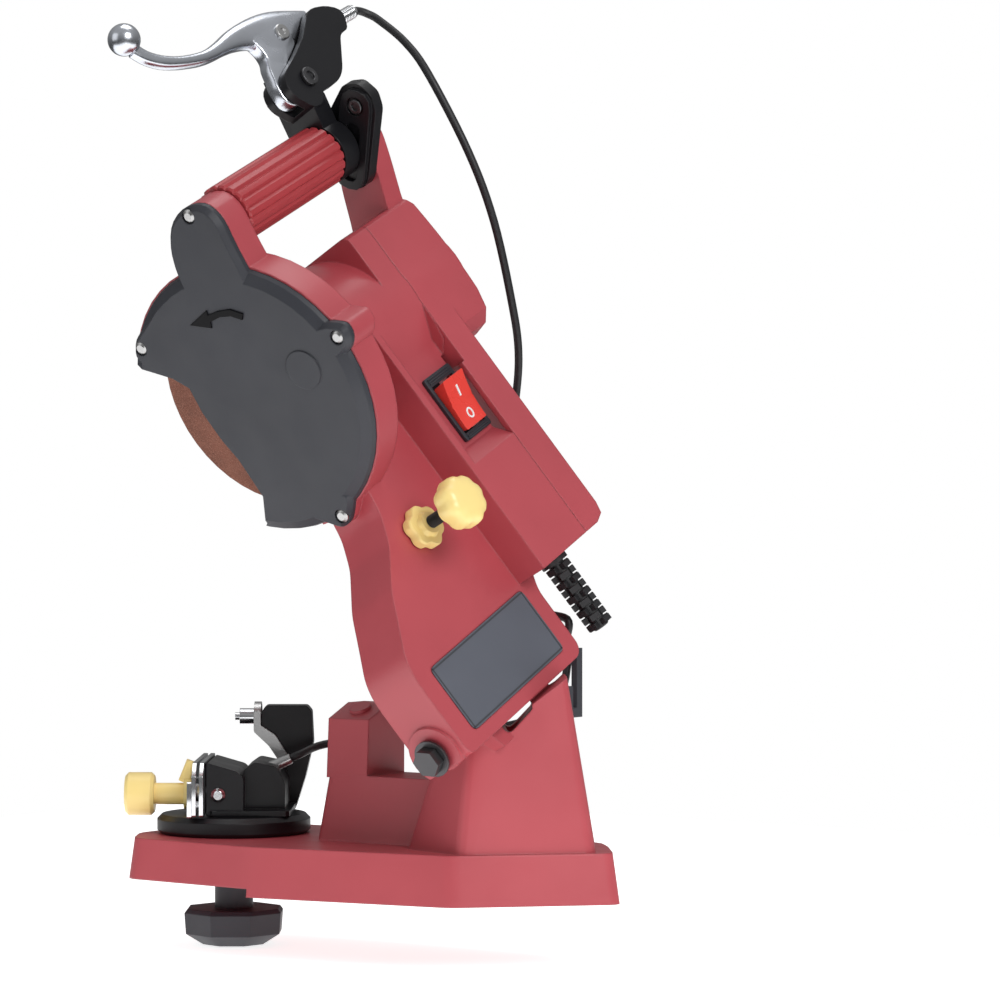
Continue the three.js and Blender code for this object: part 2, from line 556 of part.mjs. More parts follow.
function headCuts() {
  const bore = solid(rodBack(motor.radius - motor.wall, bearing.front + bearing.width, motor.split + overrun, 48));
  const nose = solid(rodBack(bearing.radius + gap, bearing.front, bearing.front + bearing.width + overrun, 28));
  const shaftHole = solid(rodBack(shaft.radius + 2, housing.front, bearing.front + overrun));
  const channelCut = solid(pushedBack(channelLine(), channel.near, box.split + overrun));
  const opening = block(switchPlate.from + 2.6, switchPlate.to - 2.6, switchPlate.near + 2.6,
    switchPlate.far - 2.6, channel.floor - 14, channel.floor + overrun);
  const recess = solid(raised(rectangle(plate.from - gap, plate.to + gap, plate.near - gap, plate.far + gap),
    arm.top - plate.recess, arm.top + overrun, plate.corner));
  const bolt = solid(rodBack(hinge.bolt + slack, arm.near - 10, hinge.lug + 20).translate(hinge.reach, 0, 0));
  const stopHole = solid(rod(depth.screw + slack, arm.low, arm.top + overrun, 16)
    .translate(depth.along, depth.across, 0));
  const gripRod = solid(rodBack(grip.rod + gap, grip.from - 12, grip.from + overrun, 20)
    .translate(grip.along, 0, grip.height));
  const reliefHole = solid(rodAcross(relief.core + gap, box.end - box.wall - overrun, box.end + overrun, 16)
    .translate(0, relief.at, relief.height));
  const screwHoles = guardScrewPlaces().map(([x, z]) =>
    solid(rodBack(guard.screw + gap, housing.front - overrun, housing.front + 10, 12).translate(x, 0, z)));
  return [bore, nose, shaftHole, channelCut, opening, recess, bolt, stopHole, gripRod, reliefHole, ...screwHoles];
}

// Outline of the web that rises from the motor's rear to the handle, as shares of the motor's radius.
const rearArmShares = [[-0.4, -0.35], [-0.2, 0.9], [-0.9, 0.9], [-1.55, 1.22], [-1.88, 1.36], [-2.18, 1.36], [-2.3, 1.05],
  [-1.6, 0.53], [-0.98, 0.2]];

// The rear casting closes the motor and the switch box, and carries the handle's far end.
function makeMotorCover() {
  const from = motor.split + gap;
  const envelope = solid(turnedBack([[0, 0], [motor.radius * 1.5, 0], [motor.radius * 1.5, motor.back - 14],
    [motor.radius * 1.3, motor.back - 5], [motor.radius, motor.back - 2.5], [motor.radius - 5, motor.back],
    [0, motor.back]], 48));
  const barrel = fuse(solid(rodBack(motor.radius, from, motor.back, 48)), squareTop(from, motor.back))
    .intersect(envelope);
  const flankFrom = box.split + gap / 2;
  const flank = solid(raised(boxLine(flankFrom, box.far), arm.low, box.top));
  const flankHollow = block(motor.radius + 8, box.end - box.wall, flankFrom - overrun, box.far - box.wall,
    arm.low - overrun, box.top - box.wall);
  const handleArm = solid(pushedBack(scaled(rearArmShares, motor.radius, motor.radius), rearArm.from, rearArm.to,
    rearArm.corner));
  const whole = fuse(barrel, carve(flank, flankHollow), handleArm);
  const bore = solid(rodBack(motor.radius - motor.wall, from - overrun, bearing.back, 48));
  const seat = solid(rodBack(bearing.radius + gap, bearing.back - overrun, bearing.back + bearing.width, 28));
  const shaftEnd = solid(rodBack(shaft.radius + 2, bearing.back, shaft.back + overrun));
  const frontRoom = block(-motor.radius, motor.radius + 8, box.split - overrun, from, -motor.radius,
    box.top + overrun);
  const gripRod = solid(rodBack(grip.rod + gap, rearArm.from - overrun, rearArm.to + overrun, 20)
    .translate(grip.along, 0, grip.height));
  const vents = Array.from({ length: 7 }, (unused, i) =>
    block(-30 + i * 9, -26 + i * 9, motor.back - 8, motor.back + overrun, -20, 20));
  return carve(whole, bore, seat, shaftEnd, frontRoom, gripRod, ...vents);
}

// A flat form whose edge slopes back from its face to its rim.
function sloped(outline, slope) {
  const { face, rim, corner } = guard;
  return solid(loft([[cornered(outline, corner), -rim], [cornered(outline, corner), 0],
    [cornered(inset(outline, slope), corner), -face]]).rotateX(Math.PI / 2));
}

function makeGuard() {
  const { radius, face, rim, slope, edge, wall, screw: hole, head, seat } = guard;
  const cap = solid(turnedBack([[0, face], [radius - slope, face], [radius - wall / 2, 0], [radius, rim], [0, rim]], 48));
  const hollow = solid(turnedBack([[0, face + wall], [radius - slope - wall, face + wall], [radius - wall, rim],
    [radius - wall, rim + overrun], [0, rim + overrun]], 48));
  const lobe = sloped(scaled(lobeShares, radius, radius), edge);
  const tabs = tabShares.map((shares) => sloped(scaled(shares, radius, radius), edge));
  const discRoom = solid(rodBack(radius - slope - wall, face + wall, rim + overrun, 48));
  const boss = solid(rodBack(emblem.radius, face - emblem.height, face + wall, 28)
    .translate(emblem.alongShare * radius, 0, emblem.upShare * radius));
  const holes = guardScrewPlaces().flatMap(([x, z]) => [
    solid(rodBack(head + gap, face - overrun, seat, 16).translate(x, 0, z)),
    solid(rodBack(hole + gap, face - overrun, rim + overrun, 12).translate(x, 0, z))]);
  const shell = fuse(carve(cap, hollow), carve(fuse(...tabs, lobe), discRoom), boss);
  return carve(shell, openingCut(radius, face - overrun, rim + overrun), ...holes);
}

function makeHead() {
  const group = new THREE.Group();
  group.add(subpart("head_casting", makeHeadCasting(), "red"));
  group.add(subpart("motor_cover", makeMotorCover(), "red"));
  group.add(subpart("disc_guard", makeGuard(), "black"));
  guardScrewPlaces().forEach(([x, z], i) => {
    const made = screw(guard.screw, guard.head, 2.4, 9);
    const mesh = subpart("guard_screw_" + (i + 1), made, "steel");
    mesh.rotation.x = Math.PI / 2;
    mesh.position.set(x, guard.seat - gap, z);
    group.add(mesh);
  });
  group.add(...makeWheel(), ...makeMotor(), ...makeHandle(), ...makeSwitch(), ...makeDepthStop());
  const bare = solid(raised(rectangle(plate.from, plate.to, plate.near, plate.far), 0, plate.thickness, plate.corner));
  const badge = subpart("rating_plate", bare, "grey");
  badge.position.z = arm.top - plate.recess + gap;
  group.add(badge, subpart("strain_relief", makeRelief(), "rubber"));
  group.applyMatrix4(headPlace);
  return group;
}

// Disc, flanges and nut on the shaft.
function makeWheel() {
  const far = disc.at + disc.thickness;
  const stone = carve(solid(rodBack(disc.radius, disc.at, far, 48)),
    solid(rodBack(disc.bore + gap, disc.at - overrun, far + overrun, 28)));
  const hole = solid(rodBack(shaft.radius + gap, 0, far + 20));
  const inner = carve(solid(turnedBack([[0, disc.at + gap], [disc.bore, disc.at + gap], [disc.bore, far + gap],
    [25, far + gap], [25, far + gap + 1.6], [12, far + gap + 3], [0, far + gap + 3]])), hole);
  const outer = carve(solid(turnedBack([[0, disc.at - gap - 3], [22, disc.at - gap - 3], [25, disc.at - gap],
    [0, disc.at - gap]])), hole);
  const nut = carve(solid(rodBack(9.5, disc.at - gap - 3 - gap - 3.6, disc.at - gap - 3 - gap, 6)), hole);
  return [subpart("grinding_disc", stone, "abrasive"), subpart("inner_flange", inner, "steel"),
    subpart("outer_flange", outer, "steel"), subpart("arbor_nut", nut, "steel")];
}

function makeMotor() {
  const spindle = solid(rodBack(shaft.radius, shaft.front, shaft.back));
  const shaftRoom = solid(rodBack(shaft.radius + gap, 0, motor.back));
  const iron = carve(solid(rodBack(rotor.radius, rotor.from, rotor.to, 28)), shaftRoom);
  const winding = carve(solid(rodBack(stator.radius, stator.from, stator.to, 28)),
    solid(rodBack(stator.bore, stator.from - overrun, stator.to + overrun, 28)));
  const bearings = [["front_bearing", bearing.front + gap], ["rear_bearing", bearing.back]].map(([name, at]) =>
    subpart(name, carve(solid(rodBack(bearing.radius, at, at + bearing.width - gap, 28)), shaftRoom), "steel"));
  const blades = Array.from({ length: fan.blades }, (unused, i) =>
    solid(raised(rectangle(fan.hub - 1, fan.radius, -1, 1), -fan.thickness / 2, fan.thickness / 2)
      .rotateX(0.6).rotateY(i * 2 * Math.PI / fan.blades).translate(0, fan.at, 0)));
  const hub = solid(rodBack(fan.hub, fan.at - fan.thickness / 2, fan.at + fan.thickness / 2));
  return [subpart("motor_shaft", spindle, "steel"), subpart("rotor", iron, "steel"),
    subpart("stator", winding, "copper"), ...bearings, subpart("fan", carve(fuse(hub, ...blades), shaftRoom), "black")];
}

function makeRelief() {
  const end = relief.from + relief.length;
  const profile = [[0, box.end - box.wall - 1], [relief.core, box.end - box.wall - 1], [relief.core, box.end + gap],
    [relief.root, box.end + gap], [relief.root, relief.from + 4], [relief.core, relief.from + 4]];
  const pitch = (end - relief.from - 6) / relief.ribs;
  for (let i = 0; i < relief.ribs; i++) {
    const at = relief.from + 6 + i * pitch;
    profile.push([relief.core, at], [relief.rib, at], [relief.rib, at + pitch * 0.55], [relief.core, at + pitch * 0.55]);
  }
  profile.push([relief.core, end], [0, end]);
  const sleeve = turnedBack(profile, 10).rotateZ(-Math.PI / 2);
  return solid(sleeve.translate(0, relief.at, relief.height));
}

// Grip, its rod and the brake lever.
function makeHandle() {
  const points = Array.from({ length: grip.ribs * 4 }, (unused, i) => {
    const reach = grip.radius + (i % 4 < 2 ? grip.rib : 0);
    const angle = (i / (grip.ribs * 4)) * 2 * Math.PI;
    return [reach * Math.cos(angle), reach * Math.sin(angle)];
  });
  const sleeve = carve(solid(pushedBack(points, grip.from + gap, grip.to)),
    solid(rodBack(grip.rod + gap, 0, motor.back, 20)));
  const handleRod = solid(rodBack(grip.rod, grip.from - 11, rearArm.to - gap, 20));
  const parts = [subpart("hand_grip", sleeve, "red"), subpart("handle_rod", handleRod, "steel"),
    subpart("handle_clamp", makeClamp(), "black")];
  parts.forEach((part) => part.position.set(grip.along, 0, grip.height));
  const clampScrew = subpart("clamp_screw", screw(clamp.screw, clamp.head, 3, 11), "steel");
  clampScrew.rotation.x = Math.PI / 2;
  clampScrew.position.set(grip.along + clamp.screwAt[0], clamp.from + clamp.sunk - gap, grip.height + clamp.screwAt[1]);
  return [...parts, clampScrew, ...makeBrake()];
}

// The clamp's outline leans over the rod, with round ends, in shares of its half width.
const clampShares = [[-2.36, 2.91], [-1.36, 0], [-1, -0.82], [0, -1.2], [1.64, -1.27], [2.41, -0.95], [2.73, -0.18],
  [2.55, 0.41], [-0.11, 3.71], [-0.95, 4.1], [-1.91, 3.82]];

// A plate on the rod with a raised oval that carries its screw over a dent.
function makeClamp() {
  const outline = scaled(clampShares, clamp.half, clamp.half);
  const whole = solid(pushedBack(outline, clamp.from, clamp.to, clamp.half / 4));
  const plateOnly = solid(pushedBack(outline, clamp.plate, clamp.to, clamp.half / 4));
  const [x, z] = clamp.screwAt;
  const run = new THREE.Vector2(clamp.low[0] - x, clamp.low[1] - z);
  const oval = (from, to, half, k0, k1) => solid(raised(rectangle(from, to, -half, half), -k1, -k0, half * 0.98)
    .rotateZ(run.angle()).translate(x, z, 0).rotateX(Math.PI / 2));
  const boss = oval(-clamp.boss, run.length() + clamp.boss, clamp.boss, clamp.from, clamp.to).intersect(whole);
  const { from: dentFrom, width, depth: dentDepth } = clamp.dent;
  const dent = oval(dentFrom, run.length() + width, width, clamp.from - overrun, clamp.from + dentDepth);
  const headRoom = solid(rodBack(clamp.room, clamp.from - overrun, clamp.from + clamp.sunk, 20).translate(x, 0, z));
  const screwRoom = solid(rodBack(clamp.screw + gap, clamp.from, clamp.to + overrun, 12).translate(x, 0, z));
  return carve(fuse(plateOnly, boss), solid(rodBack(grip.rod + gap, 0, motor.back, 20)), dent, headRoom, screwRoom);
}

// The perch's upper outline from the lever's pivot to the cable's exit, as shares of its ring, from the pivot.
const perchShares = [[-1.87, 1.99], [-1.69, 2.82], [-1.3, 3.4], [-0.65, 3.05], [-0.68, 2.6], [0.39, 1.58], [0.6, 1.1],
  [0.6, 0.15], [0.95, -0.1], [0.95, -0.55], [0.55, -0.9], [0.1, -1.15], [-0.45, -0.95], [-0.78, 0.05], [-1.2, 1.03]];

function makeBrake() {
  const { along: x, across: y, height: z, pin: pinRadius, thickness } = lever;
  const half = thickness / 2 + gap;
  const line = scaled(perchShares, perch.ring, perch.ring).map(([a, b]) => [x + a, y + b]);
  const bodyBlock = solid(raised(line, perch.low, perch.top, perch.ear));
  const reach = Math.hypot(lever.tipAlong - x, lever.tipAcross - y);
  const slot = block(x - reach, x + reach * perch.tailShare, y - 2 * perch.ring, y + reach * perch.slotShare,
    z - half, z + half);
  const low = perch.ring * Math.SQRT1_2;
  const web = solid(pushedBack([[x - low, perch.low], [grip.along - low, grip.height - low], [grip.along, grip.height],
    [grip.along - perch.ear, grip.height + low], [x + low, perch.top], [x + perch.ear, perch.top]], perch.from, perch.to));
  const ring = solid(rodBack(perch.ring, perch.from, perch.to, 28).translate(grip.along, 0, grip.height));
  const rodRoom = solid(rodBack(grip.rod + gap, perch.from - overrun, perch.to + overrun, 20)
    .translate(grip.along, 0, grip.height));
  const pinHole = solid(rod(pinRadius + gap, perch.low - overrun, perch.top + overrun, 16).translate(x, y, 0));
  const adjusterHole = fuse(
    solid(rodBack(adjusterTube.core + gap, adjusterTube.seat - adjusterTube.nut - gap, adjusterTube.seat + gap, 12)),
    solid(rodBack(adjusterTube.nut + gap, adjusterTube.seat, adjusterTube.seat + adjusterTube.length, 16)))
    .translate([adjusterTube.along, 0, z]);
  const whole = carve(fuse(bodyBlock, web, ring), slot, rodRoom, pinHole, adjusterHole);
  const pin = fuse(solid(rod(pinRadius, perch.low, perch.top + 1, 16)),
    solid(rod(pinRadius * 1.9, perch.top + gap, perch.top + gap + 2.2, 16)));
  const pinMesh = subpart("lever_pivot", pin, "steel");
  pinMesh.position.set(x, y, 0);
  const { seat, core, nut: nutRadius, tube: tubeRadius, length: tubeLength } = adjusterTube;
  const barrel = fuse(solid(rodBack(core, seat - nutRadius, seat + gap + 1, 12)),
    solid(rodBack(nutRadius, seat + gap, seat + nutRadius, 12)),
    solid(rodBack(tubeRadius, seat + nutRadius - 1, seat + tubeLength - nutRadius - gap, 12)));
  const adjusterMesh = subpart("barrel_adjuster", barrel, "chrome");
  adjusterMesh.position.set(adjusterTube.along, 0, z);
  return [subpart("brake_perch", whole, "black"), pinMesh, adjusterMesh,
    subpart("brake_lever", makeLever(), "chrome"), subpart("brake_cable_upper", upperCable(), "rubber")];
}

// The lever's outline from its ball, along the bowed blade and down the leg that turns on the pin.
// Shares of its reach from the pin to the ball.
const leverShares = [[-0.565, -0.8], [-0.51, -0.765], [-0.44, -0.667], [-0.386, -0.538], [-0.363, -0.398], [-0.384, -0.207], [-0.39, 0.016],
  [-0.365, 0.18], [-0.3, 0.26], [-0.22, 0.2], [-0.16, 0.1], [-0.07, 0.075], [0.06, 0.03], [0.055, -0.09], [-0.02, -0.15],
  [-0.12, -0.115], [-0.19, -0.097], [-0.26, -0.09], [-0.3, -0.19], [-0.298, -0.27], [-0.302, -0.413], [-0.362, -0.632],
  [-0.47, -0.8], [-0.55, -0.845]];

function leverOutline() {
  const reach = Math.hypot(lever.tipAlong - lever.along, lever.tipAcross - lever.across);
  return scaled(leverShares, reach, reach);
}

const leverPlate = (outline, from, to) => raised(outline, from, to, lever.ball / 4);

function makeLever() {
  const half = lever.thickness / 2;
  const blade = solid(leverPlate(leverOutline(), -half, half));
  const hub = solid(rod(lever.hub, -half, half, 20));
  const ball = solid(new THREE.SphereGeometry(lever.ball, 16, 10)
    .translate(lever.tipAlong - lever.along, lever.tipAcross - lever.across, 0));
  const bore = solid(rod(lever.pin + gap, -half - overrun, half + overrun, 16));
  const made = carve(fuse(blade, hub, ball), bore);
  return solid(geometryOf(made).translate(lever.along, lever.across, lever.height));
}

function upperCable() {
  return solid(tube(upperRoute, cable.radius, cable.sides, 44));
}

function makeSwitch() {
  const s = switchPlate;
  const frame = carve(
    fuse(solid(raised(rectangle(s.from, s.to, s.near, s.far), channel.floor + gap, channel.floor + gap + s.lift, 2)),
      block(s.from + s.lip, s.to - s.lip, s.near + s.lip, s.far - s.lip, channel.floor - 12, channel.floor + 1)),
    block(rocker.from - 2 * slack, rocker.to + 2 * slack, rocker.near + slack, rocker.far - slack,
      channel.floor - 10, channel.floor + 10));
  const middle = (rocker.from + rocker.to) / 2;
  const top = channel.floor + s.lift + gap;
  const profile = [[rocker.from + 1, top - 4], [rocker.to - 1, top - 4], [rocker.to, top + rocker.dip],
    [middle, top + rocker.dip * 0.5], [rocker.from, top + rocker.tip]];
  const key = solid(pushedBack(profile, rocker.near + 2 * slack, rocker.far - 2 * slack));
  return [subpart("switch_housing", frame, "black"), subpart("rocker", key, "switchRed")];
}

function makeDepthStop() {
  const spindle = solid(rod(depth.screw, depth.tip, depth.top - 3, 16));
  const nut = carve(solid(lobed(depth.nut, 6, 0.16, arm.top + gap, arm.top + gap + depth.nutHeight)),
    solid(rod(depth.screw + gap, 0, depth.top, 16)));
  const knob = carve(solid(lobed(depth.knob, 6, 0.12, depth.knobFrom, depth.top + 6)),
    solid(rod(depth.screw + gap, 0, depth.top - 3 + gap, 16)));
  const parts = [subpart("depth_screw", spindle, "black"), subpart("depth_nut", nut, "yellow"),
    subpart("depth_knob", knob, "yellow")];
  parts.forEach((part) => part.position.set(depth.along, depth.across, 0));
  return parts;
}

// Chain vise.

function makeVise() {
  const group = new THREE.Group();
  const tableEdge = 3;
  const table = carve(
    solid(turned([[0, vise.floor], [vise.radius - 2, vise.floor], [vise.radius, vise.floor + 2],
      [vise.radius, vise.table - tableEdge], [vise.radius - tableEdge, vise.table], [0, vise.table]], 40)),
    solid(rod(swivelBolt.radius + slack, 0, vise.table + overrun)),
    solid(rod(swivelBolt.head + slack, vise.table - swivelBolt.headHeight - gap, vise.table + overrun)));
  const bolt = fuse(solid(rod(swivelBolt.radius, lockKnob.from + 8, vise.table - gap)),
    solid(rod(swivelBolt.head, vise.table - swivelBolt.headHeight, vise.table - gap, 6)));
  const knobRing = circle(lockKnob.radius, lockKnob.flats).map(([x, y]) => [x, y]);
  const shrink = (share) => knobRing.map(([x, y]) => [x * share, y * share]);
  const knob = carve(
    fuse(solid(loft([[shrink(0.62), lockKnob.from], [shrink(0.97), lockKnob.from + 7],
      [shrink(1), lockKnob.to - 2.5], [shrink(0.94), lockKnob.to]]).rotateZ(22.5 * degree)),
      solid(rod(lockKnob.hub, lockKnob.to - 1, lockKnob.hubTop))),
    solid(rod(swivelBolt.radius + gap, lockKnob.from + 8 - gap, lockKnob.hubTop + overrun)));
  group.add(subpart("turntable", table, "black"), subpart("swivel_bolt", bolt, "steel"),
    subpart("lock_knob", knob, "black"));
  group.add(...makeViseBody(), ...makeJaw(), ...makeStop());
  group.position.set(0, vise.y, 0);
  group.rotation.z = vise.turn * degree;
  return group;
}

function makeViseBody() {
  const floor = vise.table + gap;
  const nearBlock = [[-15, floor], [8, floor], [8, 66], [4, 70], [-15, 75.5]];
  const main = solid(pushedAcross(nearBlock, -44, body.near, 1.5));
  const midLine = [[8 - 1, floor], [body.to - 4, floor], [body.to - 4, 62], [28, 72], [14, 75], [8 - 1, 70]];
  const middle = solid(pushedAcross(midLine, -42, 18, 2));
  const foot = solid(raised(rectangle(-45, 32, -14, body.to), floor, floor + 3.5, 6));
  const screwHole = solid(rodBack(5 + slack, -40, -4, 20).translate(0, 0, adjuster.height));
  const railHoles = [-34, 24].map((x) => solid(rodBack(2.4 + gap, -40, -4, 12).translate(x, 0, 58)));
  const made = carve(fuse(main, middle, foot, stopPost()), screwHole, ...railHoles, pinRoom());
  const rivet = screw(2.4, 4.6, 2.8, 4);
  const dome = subpart("dome_screw", rivet, "chrome");
  dome.rotation.y = Math.PI / 2;
  dome.position.set(body.near + gap, -7.5, 55.5);
  const holeForDome = solid(rodAcross(2.4 + gap, body.near - 9, body.near + overrun, 12).translate(0, -7.5, 55.5));
  const ferrule = solid(turnedBack([[0, -7], [3.6, -7], [3.6, 3], [cable.radius + 0.8, 8], [0, 8]], 16)
    .rotateX(24 * degree).translate(-5, 28, 72.5));
  const room = solid(turnedBack([[0, -9], [3.9, -9], [3.9, 12], [0, 12]], 16)
    .rotateX(24 * degree).translate(-5, 28, 72.5));
  return [subpart("vise_body", carve(made, holeForDome, room), "black"), dome,
    subpart("cable_ferrule", ferrule, "steel")];
}

function stopPost() {
  const line = [[22, 42.5], [body.to, 42.5], [body.to + 6, 62], [post.to + 1, 84], [post.to, 104],
    [post.to - 3, post.top], [post.from + 3, post.top], [post.from, 103], [post.from, 92], [24, 86], [26, 70]];
  return solid(pushedAcross(line, post.far, post.near, 1.2));
}

const pinRoom = () => solid(rodBack(3 + gap, stopPin.to - 8, post.from + 16, 16)
  .translate(stopPin.across, 0, stopPin.height));

function makeStop() {
  const pinSolid = fuse(solid(rodBack(stopPin.radius, stopPin.from + 3, stopPin.to - 4.4 - gap, 20)),
    solid(rodBack(2.6, stopPin.from, stopPin.from + 4, 12)), solid(rodBack(3, stopPin.from + 5, post.from + 15, 12)));
  const pin = subpart("stop_pin", pinSolid, "chrome");
  pin.position.set(stopPin.across, 0, stopPin.height);
  const { height, across } = stopPin;
  const eyeFrom = stopPin.to - 4.4;
  const eye = solid(rodBack(9.6, eyeFrom, stopPin.to, 24).translate(across, 0, height));
  const strip = [[eyeFrom, height + 4], [stopPin.to, height + 4], [stopPin.to, height - 5], [24, height - 11],
    [34, height - 27], [26, height - 27], [20, height - 18], [eyeFrom, height - 9]];
  const blade = solid(pushedAcross(strip, across + 8.4, across + 10.6, 1));
  const bore = solid(rodBack(3 + gap, 0, post.from, 16).translate(across, 0, height));
  return [pin, subpart("stop_pawl", carve(fuse(eye, blade), bore), "steel")];
}

function makeJaw() {
  const railLine = (low) => [[-rail.half, low], [rail.half - 6, low], [rail.half - 6, 37 + 6], [rail.half, 44],
    [rail.half, rail.top - 8], [rail.half - 8, rail.top], [-rail.half + 8, rail.top], [-rail.half, rail.top - 8]];
  const hole = (radius, x, z) => solid(rodBack(radius, -60, 10, 14).translate(x, 0, z));
  const fixed = carve(solid(pushedBack(railLine(rail.low), fixedRailAt - rail.thickness, fixedRailAt, 1)),
    hole(5 + slack, 0, adjuster.height), hole(2.4 + gap, -34, 58), hole(2.4 + gap, 24, 58));
  const moving = carve(solid(pushedBack(railLine(rail.low), movingRailAt - rail.thickness, movingRailAt, 1)),
    hole(5 + slack, 0, adjuster.height), hole(5.4, -34, 58), hole(5.4, 24, 58));
  const wavy = [[bracket.far, bracket.low], [bracket.near, bracket.low], [bracket.near, bracket.top],
    [bracket.far, bracket.top]];
  const strap = solid(pushedBack(wavy, bracket.from, bracket.to - gap * 2, 2));
  const jawScrew = solid(rodBack(5, -40, -5, 16).translate(0, 0, adjuster.height));
  const knobProfile = [[0, adjuster.knobFrom], [adjuster.knob - 2, adjuster.knobFrom],
    [adjuster.knob, adjuster.knobFrom + 2], [adjuster.knob, adjuster.knobTo - 2],
    [adjuster.knob - 2, adjuster.knobTo], [adjuster.shank, adjuster.knobTo], [adjuster.shank, adjuster.tip],
    [0, adjuster.tip]];
  const knob = carve(solid(turnedBack(knobProfile, 28).translate(0, 0, adjuster.height)),
    solid(rodBack(5 + gap, -40 - gap, 0, 16).translate(0, 0, adjuster.height)));
  const screws = [-34, 24].map((x, i) => {
    const mesh = subpart("rail_screw_" + (i + 1), screw(2.4, 4.6, 2, 7), "steel");
    mesh.rotation.x = Math.PI / 2;
    mesh.position.set(x, fixedRailAt - rail.thickness - gap, 58);
    return mesh;
  });
  const wingRing = carve(solid(rodBack(10, -31, -26.4, 20)), solid(rodBack(adjuster.shank + slack, -60, 0, 20)));
  const wingArm = solid(raised(rectangle(-wing.radius, wing.radius, -wing.radius, wing.radius), 8, 22, 2)
    .rotateX(-22 * degree).translate(0, -34.5, 0));
  const lockWing = carve(fuse(wingRing, wingArm), solid(rodBack(adjuster.shank + slack, -60, 0, 20)));
  const wingMesh = subpart("jaw_lock_wing", lockWing, "yellow");
  wingMesh.position.z = adjuster.height;
  return [subpart("fixed_rail", fixed, "chrome"), subpart("moving_rail", moving, "chrome"),
    subpart("jaw_bracket", strap, "chrome"), subpart("jaw_screw", jawScrew, "steel"),
    subpart("jaw_adjuster", knob, "yellow"), ...screws, wingMesh];
}

const sharpener = new THREE.Group();
sharpener.add(makeBase(), makeHinge(), makeHead(), makeVise());

export default sharpener;
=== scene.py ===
import json
import math

import bmesh
import bpy
from mathutils import Matrix, Vector


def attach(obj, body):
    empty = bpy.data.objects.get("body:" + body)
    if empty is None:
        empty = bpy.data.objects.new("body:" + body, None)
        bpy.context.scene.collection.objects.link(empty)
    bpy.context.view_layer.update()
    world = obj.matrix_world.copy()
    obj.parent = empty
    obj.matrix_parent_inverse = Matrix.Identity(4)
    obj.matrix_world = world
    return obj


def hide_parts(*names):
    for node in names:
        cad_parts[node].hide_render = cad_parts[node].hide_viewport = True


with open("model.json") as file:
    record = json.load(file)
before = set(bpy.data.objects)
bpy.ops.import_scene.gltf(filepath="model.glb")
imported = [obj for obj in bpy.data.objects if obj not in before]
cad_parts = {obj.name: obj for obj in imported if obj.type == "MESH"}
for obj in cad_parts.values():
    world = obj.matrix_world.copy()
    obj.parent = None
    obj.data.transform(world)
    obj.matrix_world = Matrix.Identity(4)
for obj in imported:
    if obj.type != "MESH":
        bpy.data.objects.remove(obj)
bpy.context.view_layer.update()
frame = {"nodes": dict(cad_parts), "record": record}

mm = 0.001
scene = bpy.context.scene

# The head's own axes: down its long side, along the wheel's axis, and out of its upper face. Places on the
# head are in mm along these three, from the wheel's centre.
headAxes = {
    "down": Vector((-0.375207, 0.4602, -0.804634)),
    "along": Vector((-0.906308, 0.0, 0.422618)),
    "out": Vector((0.194489, 0.887815, 0.417083)),
    "wheel": Vector((109.0, -79.0, 296.0)),
}
headTurn = Matrix([headAxes[name] for name in ("down", "along", "out")]).transposed().to_4x4()
headPlace = Matrix.Scale(mm, 4) @ Matrix.Translation(headAxes["wheel"]) @ headTurn
basePlace = Matrix.Scale(mm, 4)

# Camera.
lens = {"place": (1.736, 1.205, 0.238), "looks": (-0.826, -0.563, 0.0), "length": 127.2, "sensor": 36.0}
cameraData = bpy.data.cameras.new("camera")
cameraData.lens = lens["length"]
cameraData.sensor_width = lens["sensor"]
camera = bpy.data.objects.new("camera", cameraData)
camera.location = lens["place"]
camera.rotation_euler = Vector(lens["looks"]).to_track_quat("-Z", "Y").to_euler()
scene.collection.objects.link(camera)
scene.camera = camera

# What a finish has unless it says otherwise. Edge is the radius of a softened edge and depth how deep the
# grain is, both in mm. Specks start where a share that grows from speckFrom to 1 passes 0.
plainLook = {
    "toneScale": 14,
    "toneDetail": 4,
    "noiseFrom": 0.3,
    "noiseTo": 0.7,
    "vary": 0.06,
    "spread": 0.05,
    "leastRoughness": 0.02,
    "wearTimes": 4,
    "wearDetail": 5,
    "speckFrom": -0.8,
    "metallic": 0,
    "coat": 0,
    "coatRoughness": 0.2,
    "specular": 0.5,
    "glow": 0,
    "glowColour": (1, 1, 1, 1),
    "edge": 0.8,
    "edgeSamples": 6,
    "grain": 0.12,
    "grainScale": 900,
    "grainDetail": 3,
    "depth": 0.15,
}


def setSockets(node, values):
    for socketName, value in values.items():
        node.inputs[socketName].default_value = value


